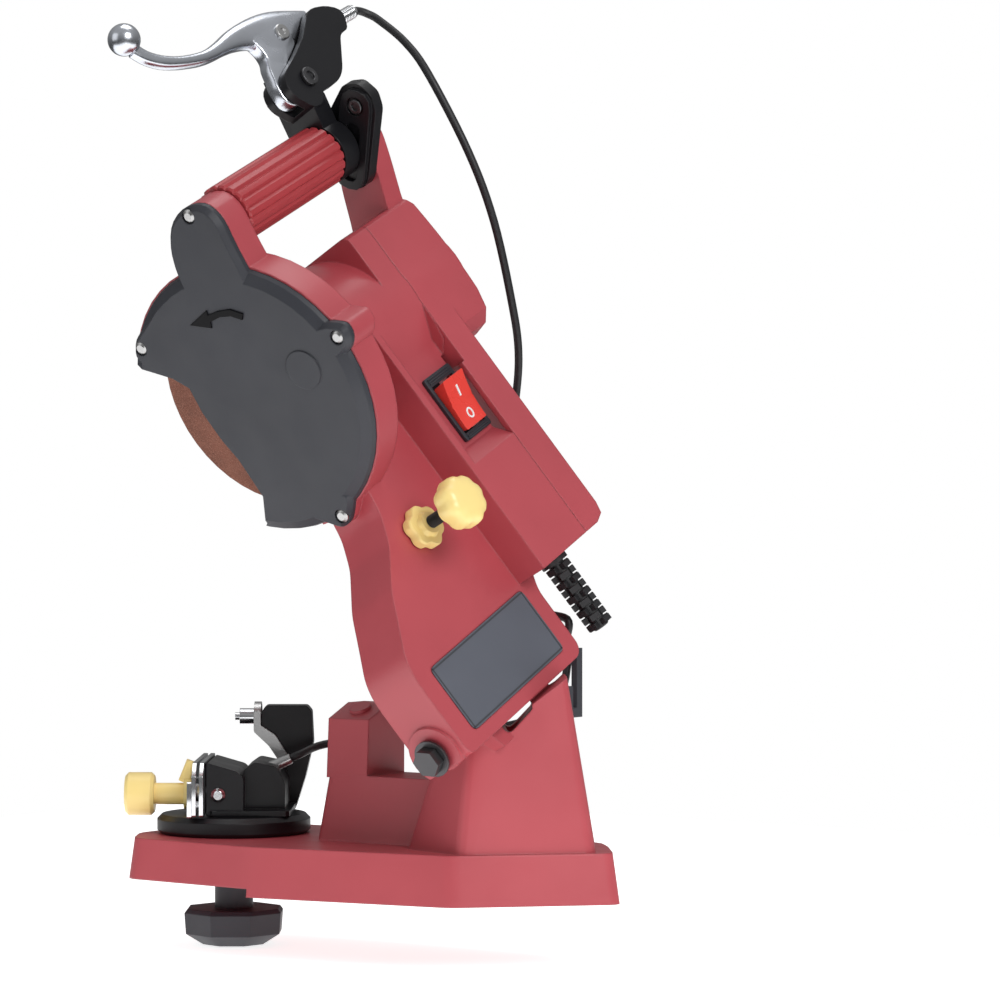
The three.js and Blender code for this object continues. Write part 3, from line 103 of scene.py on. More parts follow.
# A material with a grain, a slow change of tone and softened edges, in the object's own coordinates.
def makeMaterial(name, changes):
    look = {**plainLook, **changes}
    material = bpy.data.materials.new(name)
    material.use_nodes = True
    nodes = material.node_tree.nodes
    links = material.node_tree.links
    shader = nodes["Principled BSDF"]
    place = nodes.new("ShaderNodeTexCoord")

    def noise(scale, detail):
        node = nodes.new("ShaderNodeTexNoise")
        setSockets(node, {"Scale": scale, "Detail": detail})
        links.new(place.outputs["Object"], node.inputs["Vector"])
        return node

    def ranged(source, low, high):
        node = nodes.new("ShaderNodeMapRange")
        setSockets(node, {"From Min": look["noiseFrom"], "From Max": look["noiseTo"]})
        setSockets(node, {"To Min": low, "To Max": high})
        links.new(source.outputs["Fac"], node.inputs["Value"])
        return node.outputs["Result"]

    def tinted(times):
        return [*(min(1, channel * times) for channel in look["colour"]), 1]

    tone = noise(look["toneScale"], look["toneDetail"])
    mix = nodes.new("ShaderNodeMix")
    mix.data_type = "RGBA"
    setSockets(mix, {"A": tinted(1 - look["vary"]), "B": tinted(1 + look["vary"])})
    links.new(ranged(tone, 0, 1), mix.inputs["Factor"])
    links.new(mix.outputs["Result"], shader.inputs["Base Color"])
    if "speck" in look:
        specks = noise(look["speckScale"], look["grainDetail"])
        blend = nodes.new("ShaderNodeMix")
        blend.data_type = "RGBA"
        setSockets(blend, {"B": [*look["speck"], 1]})
        links.new(mix.outputs["Result"], blend.inputs["A"])
        links.new(ranged(specks, look["speckFrom"], 1), blend.inputs["Factor"])
        links.new(blend.outputs["Result"], shader.inputs["Base Color"])
    wear = noise(look["toneScale"] * look["wearTimes"], look["wearDetail"])
    smoothest = max(look["leastRoughness"], look["roughness"] - look["spread"])
    links.new(ranged(wear, smoothest, look["roughness"] + look["spread"]), shader.inputs["Roughness"])
    setSockets(shader, {
        "Metallic": look["metallic"],
        "Coat Weight": look["coat"],
        "Coat Roughness": look["coatRoughness"],
        "Specular IOR Level": look["specular"],
        "Emission Color": look["glowColour"],
        "Emission Strength": look["glow"],
    })
    edge = nodes.new("ShaderNodeBevel")
    edge.samples = look["edgeSamples"]
    setSockets(edge, {"Radius": look["edge"] * mm})
    grain = noise(look["grainScale"], look["grainDetail"])
    if "brushed" in look:
        stretch = nodes.new("ShaderNodeMapping")
        setSockets(stretch, {"Scale": look["brushed"]})
        links.new(place.outputs["Object"], stretch.inputs["Vector"])
        links.new(stretch.outputs["Vector"], grain.inputs["Vector"])
    bump = nodes.new("ShaderNodeBump")
    setSockets(bump, {"Strength": look["grain"], "Distance": look["depth"] * mm})
    links.new(grain.outputs["Fac"], bump.inputs["Height"])
    links.new(edge.outputs["Normal"], bump.inputs["Normal"])
    links.new(bump.outputs["Normal"], shader.inputs["Normal"])
    return material


# Finishes of the material slots.
slotLooks = {
    "red_paint": {"colour": (0.44, 0.066, 0.082), "roughness": 0.42, "vary": 0.05, "grainScale": 420,
                  "grain": 0.1, "edge": 1.6, "coat": 0.12},
    "red_grip": {"colour": (0.4, 0.042, 0.05), "roughness": 0.36, "vary": 0.05, "grainScale": 600,
                 "grain": 0.03, "edge": 0.15},
    "black_plastic": {"colour": (0.03, 0.032, 0.041), "roughness": 0.5, "vary": 0.1, "grainScale": 1100,
                      "grain": 0.22, "edge": 1.0},
    "rubber": {"colour": (0.014, 0.014, 0.016), "roughness": 0.5, "vary": 0.12, "grainScale": 800,
               "edge": 0.4},
    "yellow_plastic": {"colour": (0.95, 0.74, 0.28), "roughness": 0.38, "vary": 0.04, "grainScale": 300,
                       "grain": 0.06, "coat": 0.15},
    "steel": {"colour": (0.5, 0.5, 0.5), "roughness": 0.32, "metallic": 1, "vary": 0.1, "grainScale": 700,
              "edge": 0.3},
    "chrome": {"colour": (0.72, 0.73, 0.75), "roughness": 0.14, "metallic": 1, "spread": 0.04,
               "grainScale": 200, "grain": 0.03, "edge": 0.5},
    "polished_aluminium": {"colour": (0.66, 0.69, 0.75), "roughness": 0.24, "metallic": 1,
                           "grainScale": 160, "grain": 0.06},
    "abrasive": {"colour": (0.22, 0.085, 0.057), "roughness": 0.9, "vary": 0.2, "toneScale": 60,
                 "grainScale": 1400, "grain": 0.9, "depth": 0.5, "speck": (0.36, 0.16, 0.11),
                 "speckScale": 1500, "edge": 0.3},
    "grey_plate": {"colour": (0.13, 0.14, 0.17), "roughness": 0.4, "metallic": 0.3, "vary": 0.05,
                   "brushed": (1, 12, 1), "edge": 0.2},
    "winding": {"colour": (0.5, 0.25, 0.1), "roughness": 0.4, "metallic": 0.8, "edge": 0.2},
    "switch_red": {"colour": (0.8, 0.05, 0.035), "roughness": 0.28, "vary": 0.04, "grainScale": 300,
                   "grain": 0.04, "edge": 0.5, "coat": 0.4},
}

# Finishes of single pieces, beside those of their slots.
pieceLooks = {
    "dark_steel": {"colour": (0.1, 0.1, 0.105), "roughness": 0.38, "metallic": 0.9, "vary": 0.15,
                   "edge": 0.4},
    "gloss_black": {"colour": (0.003, 0.003, 0.004), "roughness": 0.3, "specular": 0.12, "grain": 0.04,
                    "edge": 0.2},
    "vise_black": {"colour": (0.009, 0.009, 0.011), "roughness": 0.34, "specular": 0.35, "grain": 0.1,
                   "edge": 0.7},
    "white_mark": {"colour": (0.85, 0.85, 0.85), "roughness": 0.4, "edge": 0.1},
    "plate_border": {"colour": (0.05, 0.052, 0.06), "roughness": 0.4, "edge": 0.1},
}
materials = {name: makeMaterial(name, look) for name, look in {**slotLooks, **pieceLooks}.items()}
print("stage: camera and materials")

# CAD nodes keep their meshes. Each has its slot's finish unless another is named here.
dressing = {
    "weld": 0.00001,
    "splitAngle": 32,
    "splitAngles": {"disc_guard": 16},
    "finishes": {
        "dark_steel": ("hinge_bolt", "hinge_washer", "swivel_bolt"),
        "vise_black": ("turntable", "vise_body", "brake_perch", "handle_clamp"),
    },
}


def dressNode(nodeName, node, slotName):
    mesh = node.data
    mesh.materials.clear()
    mesh.materials.append(materials[slotName])
    if "custom_normal" in mesh.attributes:
        mesh.attributes.remove(mesh.attributes["custom_normal"])
    for polygon in mesh.polygons:
        polygon.use_smooth = True
    weld = node.modifiers.new("weld", "WELD")
    weld.merge_threshold = dressing["weld"]
    split = node.modifiers.new("split", "EDGE_SPLIT")
    split.split_angle = math.radians(dressing["splitAngles"].get(nodeName, dressing["splitAngle"]))


slots = {row["node"]: row["material_slot"] for row in frame["record"]["subparts"]}
for nodeName, node in frame["nodes"].items():
    dressNode(nodeName, node, slots[nodeName])
for finish, nodeNames in dressing["finishes"].items():
    for nodeName in nodeNames:
        frame["nodes"][nodeName].data.materials[0] = materials[finish]

# What the tools for new pieces share. The merging distance is in m on a placed piece and in mm on a turned
# profile, whose ends stand onAxis mm from its axis. A tube's first ring is turned towards tubeCross.
tools = {
    "pieceMerge": 0.000002,
    "turnedMerge": 0.0005,
    "onAxis": 0.01,
    "sharpAngle": 35,
    "bevelAngle": 50,
    "tubeCross": (0.3, 0.5, 0.8),
}


def addPiece(name, form, place, body, slotName, nodes=(), material=None, sharp=tools["sharpAngle"]):
    bmesh.ops.transform(form, matrix=place, verts=form.verts)
    bmesh.ops.remove_doubles(form, verts=form.verts, dist=tools["pieceMerge"])
    bmesh.ops.recalc_face_normals(form, faces=form.faces)
    mesh = bpy.data.meshes.new(name)
    form.to_mesh(mesh)
    form.free()
    for polygon in mesh.polygons:
        polygon.use_smooth = True
    mesh.set_sharp_from_angle(angle=math.radians(sharp))
    piece = bpy.data.objects.new(name, mesh)
    scene.collection.objects.link(piece)
    mesh.materials.append(materials[material or slotName])
    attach(piece, body)
    if nodes:
        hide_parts(*nodes)
    return piece


# A smooth line through points, with the given number of steps from one to the next.
def smoothLine(points, steps, closed=False):
    points = [Vector(point) for point in points]
    count = len(points)
    made = []
    for i in range(count if closed else count - 1):
        if closed:
            a, b, c, d = (points[(i + k) % count] for k in (-1, 0, 1, 2))
        else:
            a, b, c, d = (points[min(max(i + k, 0), count - 1)] for k in (-1, 0, 1, 2))
        for step in range(steps):
            t = step / steps
            made.append(0.5 * (2 * b + (c - a) * t + (2 * a - 5 * b + 4 * c - d) * t * t
                               + (3 * b - a - 3 * c + d) * t * t * t))
    if not closed:
        made.append(points[-1])
    return made


# A skin through rings of the same number of points, closed at both ends.
def skinRings(form, rings):
    count = len(rings[0])
    previous = None
    for at, ring in enumerate(rings):
        cap = at in (0, len(rings) - 1)
        made = bmesh.ops.create_circle(form, cap_ends=cap, segments=count, radius=1)["verts"]
        for vert, point in zip(made, ring):
            vert.co = point
        edges = list(dict.fromkeys(edge for vert in made for edge in vert.link_edges))
        if previous:
            bmesh.ops.bridge_loops(form, edges=previous + edges)
        previous = edges


# A profile of places along an axis and radii, turned round it.
def turnProfile(form, profile, axis, centre, sides):
    across = Vector((0, 0, 1)) if abs(axis.z) < 0.5 else Vector((1, 0, 0))
    verts = [form.verts.new(centre + axis * at + across * radius) for at, radius in profile]
    edges = [form.edges.new(pair) for pair in zip(verts, verts[1:])]
    bmesh.ops.spin(form, geom=verts + edges, cent=centre, axis=axis, angle=2 * math.pi, steps=sides,
                   use_merge=True)
    bmesh.ops.remove_doubles(form, verts=form.verts, dist=tools["turnedMerge"])


# A flat piece with the outline's shape and a softened rim.
def addPrism(form, outline, low, high, soften, segments):
    verts = [form.verts.new((x, y, low)) for x, y in outline]
    edges = [form.edges.new(pair) for pair in zip(verts, verts[1:] + verts[:1])]
    face = bmesh.ops.edgeloop_fill(form, edges=edges)["faces"]
    grown = bmesh.ops.extrude_face_region(form, geom=face)["geom"]
    top = [item for item in grown if isinstance(item, bmesh.types.BMVert)]
    bmesh.ops.translate(form, vec=(0, 0, high - low), verts=top)
    bmesh.ops.recalc_face_normals(form, faces=form.faces)
    ends = set(verts) | set(top)
    sharp = [edge for edge in form.edges if set(edge.verts) <= ends and len(edge.link_faces) == 2
             and edge.calc_face_angle() > math.radians(tools["bevelAngle"])]
    bmesh.ops.bevel(form, geom=sharp, offset=soften, segments=segments, profile=0.5, affect="EDGES",
                    clamp_overlap=True, material=-1)


def addBlock(form, lowCorner, highCorner):
    low, high = Vector(lowCorner), Vector(highCorner)
    place = Matrix.Translation((low + high) / 2) @ Matrix.Diagonal((*(high - low), 1))
    return bmesh.ops.create_cube(form, size=1, matrix=place)["verts"]


# A tube along a line. Its rings' cross direction is carried along without a twist.
def sweepTube(form, line, radius, sides):
    rings = []
    normal = Vector(tools["tubeCross"])
    for at, point in enumerate(line):
        ahead = line[min(at + 1, len(line) - 1)] - line[max(at - 1, 0)]
        ahead.normalize()
        normal = (normal - ahead * normal.dot(ahead)).normalized()
        other = ahead.cross(normal)
        rings.append([point + (normal * math.cos(turn) + other * math.sin(turn)) * radius
                      for turn in (2 * math.pi * side / sides for side in range(sides))])
    skinRings(form, rings)


# Brake cable, in two stretches that meet on the hinge's axis. The upper route is on the head's axes and the
# lower one in the part's own frame, both in mm.
cable = {
    "radius": 2.5,
    "sides": 14,
    "steps": 6,
    "upper": [(-159, 219, 57), (-157.3, 224, 57.2), (-152.6, 227.8, 58.6), (-145, 229, 62),
              (-124, 225, 71.5), (-99, 216, 78.5), (-46, 207, 75), (-3, 201, 64), (43, 196, 42),
              (71, 193, 25), (95, 186, 5), (125, 165, -18), (160, 135, -30), (190, 115, -28),
              (208, 108, -12), (219.4, 104.2, 4.2), (227.5, 100, 0)],
    "lower": [(-67, 25.7, 154.6), (-67, 25.7, 149), (-67, 25.7, 143), (-67, 25.7, 137), (-69, 20, 122),
              (-73, 0, 105), (-74, -40, 95), (-69, -78, 91), (-58, -112, 88.5), (-41.4, -140.5, 84),
              (-27.6, -148.5, 78.5), (-24.4, -153.1, 76.05)],
}


def addCable(name, route, place, body, node):
    line = smoothLine(route, cable["steps"])
    form = bmesh.new()
    sweepTube(form, line, cable["radius"], cable["sides"])
    piece = addPiece(name, form, place, body, "rubber", [node])


addCable("upperCable", cable["upper"], headPlace, "head", "brake_cable_upper")
addCable("lowerCable", cable["lower"], basePlace, "base", "brake_cable_lower")
print("stage: cables")

# Hand grip with fine lengthwise flutes. Each flute has one dip share for each of its points.
grip = {
    "down": -95,
    "out": 48,
    "radius": 19,
    "near": 22.9,
    "far": 122.5,
    "flutes": 18,
    "fluteDepth": 1.3,
    "dipShares": (0, 0, 0, 0, 0, 0.55, 1, 0.55),
    "chamfer": 1.1,
}


def gripRing(at, inward):
    shares = grip["dipShares"]
    count = grip["flutes"] * len(shares)
    middle = Vector((grip["down"], at, grip["out"]))
    ring = []
    for i in range(count):
        reach = grip["radius"] - inward - grip["fluteDepth"] * shares[i % len(shares)]
        turn = 2 * math.pi * i / count
        ring.append(middle + Vector((reach * math.cos(turn), 0, reach * math.sin(turn))))
    return ring


def addGrip():
    near, far, chamfer = grip["near"], grip["far"], grip["chamfer"]
    stations = [(near, 2 * chamfer), (near, chamfer), (near + chamfer, 0), ((near + far) / 2, 0),
                (far - chamfer, 0), (far, chamfer), (far, 2 * chamfer)]
    form = bmesh.new()
    skinRings(form, [gripRing(at, inward) for at, inward in stations])
    addPiece("fluted_grip", form, headPlace, "head", "red_grip", ["hand_grip"])


addGrip()

# Brake lever: a bowed blade from the ball to the head, and the leg that turns on the pin. A row of the
# blade has its two edges and half its thickness there. A section power under 1 makes it squarer than an
# ellipse.
lever = {
    "out": 57,
    "sides": 20,
    "steps": 3,
    "sectionPower": 0.75,
    "blade": [
        ((-206.5, 37.5), (-201.5, 29.5), 3.4), ((-199.5, 41.5), (-193.5, 35.5), 3.7),
        ((-193.5, 48.7), (-186.5, 45), 4.1), ((-189.2, 57), (-182, 55.5), 4.4),
        ((-186.5, 65.1), (-178.8, 66), 4.6), ((-184.3, 75), (-176.4, 76), 4.8),
        ((-183.5, 83.1), (-175.3, 86), 5), ((-184.5, 95), (-174.9, 97.5), 5),
        ((-186.5, 107.6), (-173.3, 109), 5), ((-187.4, 122), (-169, 121), 5),
        ((-187.1, 136.2), (-158, 133), 5), ((-185.5, 147), (-155.5, 145), 5),
        ((-182.7, 156.8), (-160, 158), 5), ((-178.5, 168), (-165, 168), 4.8),
        ((-174.5, 177.5), (-169, 176), 4)],
    "leg": [(-176, 122), (-166, 122), (-160, 121.3), (-155.3, 118.1), (-148.5, 115.5), (-141.3, 112.7),
            (-131.5, 112.5), (-126.5, 119), (-126.2, 130), (-129, 139), (-137, 143.2), (-145.5, 141),
            (-151, 135.5), (-154.5, 143), (-160, 152), (-172, 150)],
    "legHalf": 4.6,
    "legEdge": 1.2,
    "legEdgeSegments": 2,
    "ball": (-211.6, 32, 58),
    "ballRadius": 9.6,
    "ballSides": 36,
    "ballRows": 24,
    "sharpAngle": 50,
}


def bladeRing(upper, lower, half):
    middle = (Vector(upper) + Vector(lower)) / 2
    across = (Vector(upper) - Vector(lower)) / 2
    power = lever["sectionPower"]
    ring = []
    for i in range(lever["sides"]):
        turn = 2 * math.pi * i / lever["sides"]
        flat = math.copysign(abs(math.cos(turn)) ** power, math.cos(turn))
        rise = math.copysign(abs(math.sin(turn)) ** power, math.sin(turn))
        point = middle + across * flat
        ring.append(Vector((point.x, point.y, lever["out"] + half * rise)))
    return ring


def addLever():
    upperLine = smoothLine([(*upper, half) for upper, lower, half in lever["blade"]], lever["steps"])
    lowerLine = smoothLine([(*lower, half) for upper, lower, half in lever["blade"]], lever["steps"])
    legLine = smoothLine([(x, y, 0) for x, y in lever["leg"]], lever["steps"], closed=True)
    form = bmesh.new()
    skinRings(form, [bladeRing(up.xy, low.xy, up.z) for up, low in zip(upperLine, lowerLine)])
    bmesh.ops.create_uvsphere(form, u_segments=lever["ballSides"], v_segments=lever["ballRows"],
                              radius=lever["ballRadius"], matrix=Matrix.Translation(lever["ball"]))
    addPrism(form, [(point.x, point.y) for point in legLine], lever["out"] - lever["legHalf"],
             lever["out"] + lever["legHalf"], lever["legEdge"], lever["legEdgeSegments"])
    addPiece("polished_lever", form, headPlace, "lever", "polished_aluminium", ["brake_lever"],
             sharp=lever["sharpAngle"])


addLever()

# Nipple that holds the cable's end in the lever.
nipple = {"centre": (-169.2, 146.2, 0), "low": 60.5, "top": 63.5, "radius": 5.2, "chamfer": 0.6, "dish": 2,
          "dishFloor": 1.6, "dishDepth": 0.7, "sides": 32}


def addNipple():
    low, top, radius = nipple["low"], nipple["top"], nipple["radius"]
    form = bmesh.new()
    turnProfile(form, [(low, tools["onAxis"]), (low, radius), (top - nipple["chamfer"], radius),
                       (top, radius - nipple["chamfer"]), (top, nipple["dish"]),
                       (top - nipple["dishDepth"], nipple["dishFloor"]),
                       (top - nipple["dishDepth"], tools["onAxis"])],
                Vector((0, 0, 1)), Vector(nipple["centre"]), nipple["sides"])
    addPiece("cable_nipple", form, headPlace, "lever", "steel")


addNipple()
print("stage: grip and lever")

# Socket screws of the lever's pivot and of the clamp.
socketScrews = {
    "pivot_socket_screw": {"centre": (-137, 134, 68.2), "axis": (0, 0, 1), "radius": 6, "height": 2.4,
                           "shank": 22, "node": "lever_pivot"},
    "clamp_socket_screw": {"centre": (-106, 139.9, 80), "axis": (0, -1, 0), "radius": 4.6, "height": 2.2,
                           "shank": 10, "node": "clamp_screw"},
}
socketHead = {"shankShare": 0.5, "foot": 0.3, "chamfer": 0.5, "rimShare": 0.55, "boreShare": 0.5,
              "boreEdge": 0.3, "boreFloorShare": 0.3, "sides": 36}


def addSocketScrew(name, screw):
    radius, height, shank = screw["radius"], screw["height"], screw["shank"]
    core = radius * socketHead["shankShare"]
    bore = radius * socketHead["boreShare"]
    foot, chamfer = socketHead["foot"], socketHead["chamfer"]
    boreFloor = height * socketHead["boreFloorShare"]
    profile = [(-shank, tools["onAxis"]), (-shank, core), (0, core), (0, radius - foot), (foot, radius),
               (height - chamfer, radius), (height, radius - chamfer),
               (height, radius * socketHead["rimShare"]), (height - socketHead["boreEdge"], bore),
               (boreFloor, bore), (boreFloor, tools["onAxis"])]
    form = bmesh.new()
    turnProfile(form, profile, Vector(screw["axis"]), Vector(screw["centre"]), socketHead["sides"])
    addPiece(name, form, headPlace, "head", "steel", [screw["node"]], material="dark_steel")


for name, screw in socketScrews.items():
    addSocketScrew(name, screw)

# Chrome barrel adjuster: a nut at its seat and a tube that is ringed along its length. TubeFrom and
# ringsFrom count from the seat, and plainLength is what the rings leave free of it.
adjuster = {
    "place": (-159, 0, 57),
    "from": 196.5,
    "seat": 198.4,
    "to": 219.5,
    "core": 2.8,
    "nut": 5.4,
    "nutEdge": 0.5,
    "nutLength": 5,
    "nutFall": 0.6,
    "tube": 4.1,
    "tubeFrom": 6,
    "rings": 7,
    "ringsFrom": 7,
    "plainLength": 9,
    "ringRise": 0.5,
    "ringShares": (0.3, 0.7),
    "end": 0.6,
    "endFall": 0.8,
    "sides": 32,
}


def addAdjuster():
    seat, nut, edge, tube = adjuster["seat"], adjuster["nut"], adjuster["nutEdge"], adjuster["tube"]
    nutEnd = seat + adjuster["nutLength"]
    profile = [(adjuster["from"], tools["onAxis"]), (adjuster["from"], adjuster["core"]),
               (seat, adjuster["core"]), (seat, nut - edge), (seat + edge, nut), (nutEnd, nut),
               (nutEnd + edge, nut - adjuster["nutFall"]), (seat + adjuster["tubeFrom"], tube)]
    pitch = (adjuster["to"] - seat - adjuster["plainLength"]) / adjuster["rings"]
    crest = tube + adjuster["ringRise"]
    rise, fall = adjuster["ringShares"]
    for i in range(adjuster["rings"]):
        at = seat + adjuster["ringsFrom"] + i * pitch
        profile += [(at, tube), (at + pitch * rise, crest), (at + pitch * fall, crest), (at + pitch, tube)]
    profile += [(adjuster["to"] - adjuster["end"], tube), (adjuster["to"], tube - adjuster["endFall"]),
                (adjuster["to"], tools["onAxis"])]
    form = bmesh.new()
    turnProfile(form, profile, Vector((0, 1, 0)), Vector(adjuster["place"]), adjuster["sides"])
    addPiece("ringed_adjuster", form, headPlace, "head", "chrome", ["barrel_adjuster"])


addAdjuster()

# Direction arrow, raised on the guard's face. It shows which way the disc turns. Its outline is drawn flat,
# in down and out, and the face matrix stands it up.
arrow = {
    "points": [(-57.1, -0.7), (-58, 17), (-55.3, 15.9), (-53.5, 24.1), (-50, 32.5), (-43.4, 38.8),
               (-40.6, 35.4), (-46.5, 29.9), (-50, 22.5), (-51.3, 14.2), (-47.8, 12)],
    "low": 3,
    "high": 4.5,
    "edge": 0.25,
    "edgeSegments": 1,
    "face": Matrix(((1, 0, 0, 0), (0, 0, -1, 0), (0, 1, 0, 0), (0, 0, 0, 1))),
}


def addArrow():
    form = bmesh.new()
    addPrism(form, arrow["points"], arrow["low"], arrow["high"], arrow["edge"], arrow["edgeSegments"])
    addPiece("direction_arrow", form, headPlace @ arrow["face"], "head", "black_plastic",
             material="gloss_black")


addArrow()

# Depth stop: a domed knob with scallops, a lobed nut with a cone, and a threaded screw. A ring has its
# place along the screw and its share of the radius, and one above lobedFromShare is lobed.
depth = {
    "centre": Vector((119, 25.5, 0)),
    "knob": {"radius": 16, "lobes": 8, "dip": 0.05,
             "rings": [(54, 0.3), (54, 0.8), (55, 0.93), (57.5, 1), (63, 1), (66, 0.965), (68.3, 0.86),
                       (69.6, 0.66), (70.1, 0.35)]},
    "nut": {"radius": 13.5, "lobes": 6, "dip": 0.09,
            "rings": [(22.4, 0.4), (22.4, 0.93), (23.4, 1), (28.8, 1), (29.9, 0.94), (30.2, 0.62),
                      (33.5, 0.5), (33.8, 0.33)]},
    "lobedFromShare": 0.6,
    "lobePower": 1.6,
    "lobeSides": 96,
}
thread = {"radius": 4, "pitch": 1.25, "depth": 0.65, "from": -28, "chamfer": 1, "plainTo": 20,
          "plainInset": 0.2, "to": 60, "end": 61, "riseShare": 0.25, "crestShare": 0.5, "fallShare": 0.75,
          "sides": 24}


def lobedRings(shape):
    made = []
    for height, share in shape["rings"]:
        dip = shape["dip"] if share > depth["lobedFromShare"] else 0
        ring = []
        for i in range(depth["lobeSides"]):
            turn = 2 * math.pi * i / depth["lobeSides"]
            wave = (1 - math.cos(shape["lobes"] * turn)) ** depth["lobePower"] / 2
            reach = shape["radius"] * share * (1 - dip * wave)
            ring.append(depth["centre"] + Vector((reach * math.cos(turn), reach * math.sin(turn), height)))
        made.append(ring)
    return made


def addLobed(name, shape, node):
    form = bmesh.new()
    skinRings(form, lobedRings(shape))
    addPiece(name, form, headPlace, node, "yellow_plastic", [node])


def addThreadedScrew():
    radius, pitch = thread["radius"], thread["pitch"]
    root = radius - thread["depth"]
    plain = radius - thread["plainInset"]
    profile = [(thread["from"], tools["onAxis"]), (thread["from"], radius - thread["chamfer"]),
               (thread["from"] + thread["chamfer"], plain), (thread["plainTo"], plain)]
    at = thread["plainTo"]
    while at < thread["to"]:
        profile += [(at + pitch * thread["riseShare"], radius), (at + pitch * thread["crestShare"], radius),
                    (at + pitch * thread["fallShare"], root), (at + pitch, root)]
        at += pitch
    profile += [(thread["end"], root), (thread["end"], tools["onAxis"])]
    form = bmesh.new()
    turnProfile(form, profile, Vector((0, 0, 1)), depth["centre"], thread["sides"])
    addPiece("threaded_screw", form, headPlace, "depth_screw", "steel", ["depth_screw"], material="rubber")


addLobed("domed_knob", depth["knob"], "depth_knob")
addLobed("lobed_nut", depth["nut"], "depth_nut")
addThreadedScrew()
print("stage: adjuster and depth stop")

# Rocker switch: a curved key that falls from its high end to its low end, both measured above top.
rocker = {"from": 57.5, "to": 89.5, "near": 92, "far": 114, "top": 38.2, "highEnd": 9, "highPower": 1.7,
          "lowEnd": 2.6, "lowPower": 1.5, "swell": 1.1, "steps": 14, "footIn": 1.2, "footDown": 4,
          "edge": 0.8, "edgeShare": 0.3}


# Height of the key's face at a share of its length.
def keyHeight(share):
    return (rocker["top"] + rocker["highEnd"] * (1 - share) ** rocker["highPower"]
            + rocker["lowEnd"] * share ** rocker["lowPower"] + rocker["swell"] * share * (1 - share))


def heightOn(at):
    return keyHeight((at - rocker["from"]) / (rocker["to"] - rocker["from"]))


def keyRing(at, inward):
    foot = rocker["top"] - rocker["footDown"]
    line = [Vector((rocker["from"] + rocker["footIn"], at, foot))]
    for i in range(rocker["steps"] + 1):
        share = i / rocker["steps"]
        x = rocker["from"] + (rocker["to"] - rocker["from"]) * share
        line.append(Vector((x, at, keyHeight(share))))
    line.append(Vector((rocker["to"] - rocker["footIn"], at, foot)))
    heart = sum(line, Vector()) / len(line)
    return [point + (heart - point).normalized() * inward for point in line]


def addRocker():
    near, far, edge = rocker["near"], rocker["far"], rocker["edge"]
    nick = edge * rocker["edgeShare"]
    form = bmesh.new()
    skinRings(form, [keyRing(near, edge), keyRing(near + nick, nick), keyRing(near + edge, 0),
                     keyRing(far - edge, 0), keyRing(far - nick, nick), keyRing(far, edge)])
    addPiece("rocker_key", form, headPlace, "switch", "switch_red", ["rocker"])


# The key's two marks: a bar, and a ring of small blocks that follows its face.
mark = {"from": 63.5, "to": 70.5, "half": 0.8, "sink": 0.2, "rise": 0.4, "ring": 2.9, "ringAt": 82,
        "ringAcrossShare": 0.8, "ringBlocks": 24, "block": (1.1, 0.9, 0.8)}


def addMarks():
    middle = (rocker["near"] + rocker["far"]) / 2
    form = bmesh.new()
    bar = addBlock(form, (mark["from"], middle - mark["half"], -mark["sink"]),
                   (mark["to"], middle + mark["half"], mark["rise"]))
    for vert in bar:
        vert.co.z += heightOn(vert.co.x)
    for i in range(mark["ringBlocks"]):
        turn = 2 * math.pi * i / mark["ringBlocks"]
        across = mark["ring"] * mark["ringAcrossShare"] * math.sin(turn)
        centre = Vector((mark["ringAt"] + mark["ring"] * math.cos(turn), middle + across, 0))
        place = (Matrix.Translation(centre) @ Matrix.Rotation(turn, 4, "Z")
                 @ Matrix.Diagonal((*mark["block"], 1)))
        for vert in bmesh.ops.create_cube(form, size=1, matrix=place)["verts"]:
            vert.co.z += heightOn(centre.x)
    addPiece("rocker_marks", form, headPlace, "switch", "switch_red", material="white_mark")


addRocker()
addMarks()

# Ribs on the ends of the switch's frame.
frameRibs = {"starts": (51.2, 52.7, 54.2, 91.2, 92.5, 93.8), "near": 91.5, "far": 114.5, "low": 37.4,
             "high": 39.0, "width": 0.7}


def addFrameRibs():
    form = bmesh.new()
    for start in frameRibs["starts"]:
        addBlock(form, (start, frameRibs["near"], frameRibs["low"]),
                 (start + frameRibs["width"], frameRibs["far"], frameRibs["high"]))
    addPiece("frame_ribs", form, headPlace, "head", "black_plastic")


addFrameRibs()

# Strain relief: a plug and a collar, then a core with rows of square lugs, each row turned against the next.
relief = {
    "along": 108,
    "out": 20,
    "plugFrom": 178,
    "plug": 5.4,
    "collarFrom": 182.4,
    "collarTo": 187,
    "collar": 9,
    "core": 5.2,
    "to": 235,
    "end": 0.6,
    "endFall": 0.8,
    "bore": 3,
    "boreDepth": 3,
    "sides": 32,
    "rows": 9,
    "rowsFrom": 188.5,
    "lugs": 4,
    "lug": 8,
    "lugSink": 0.3,
    "lugWidth": 6.6,
    "lugShare": 0.72,
}


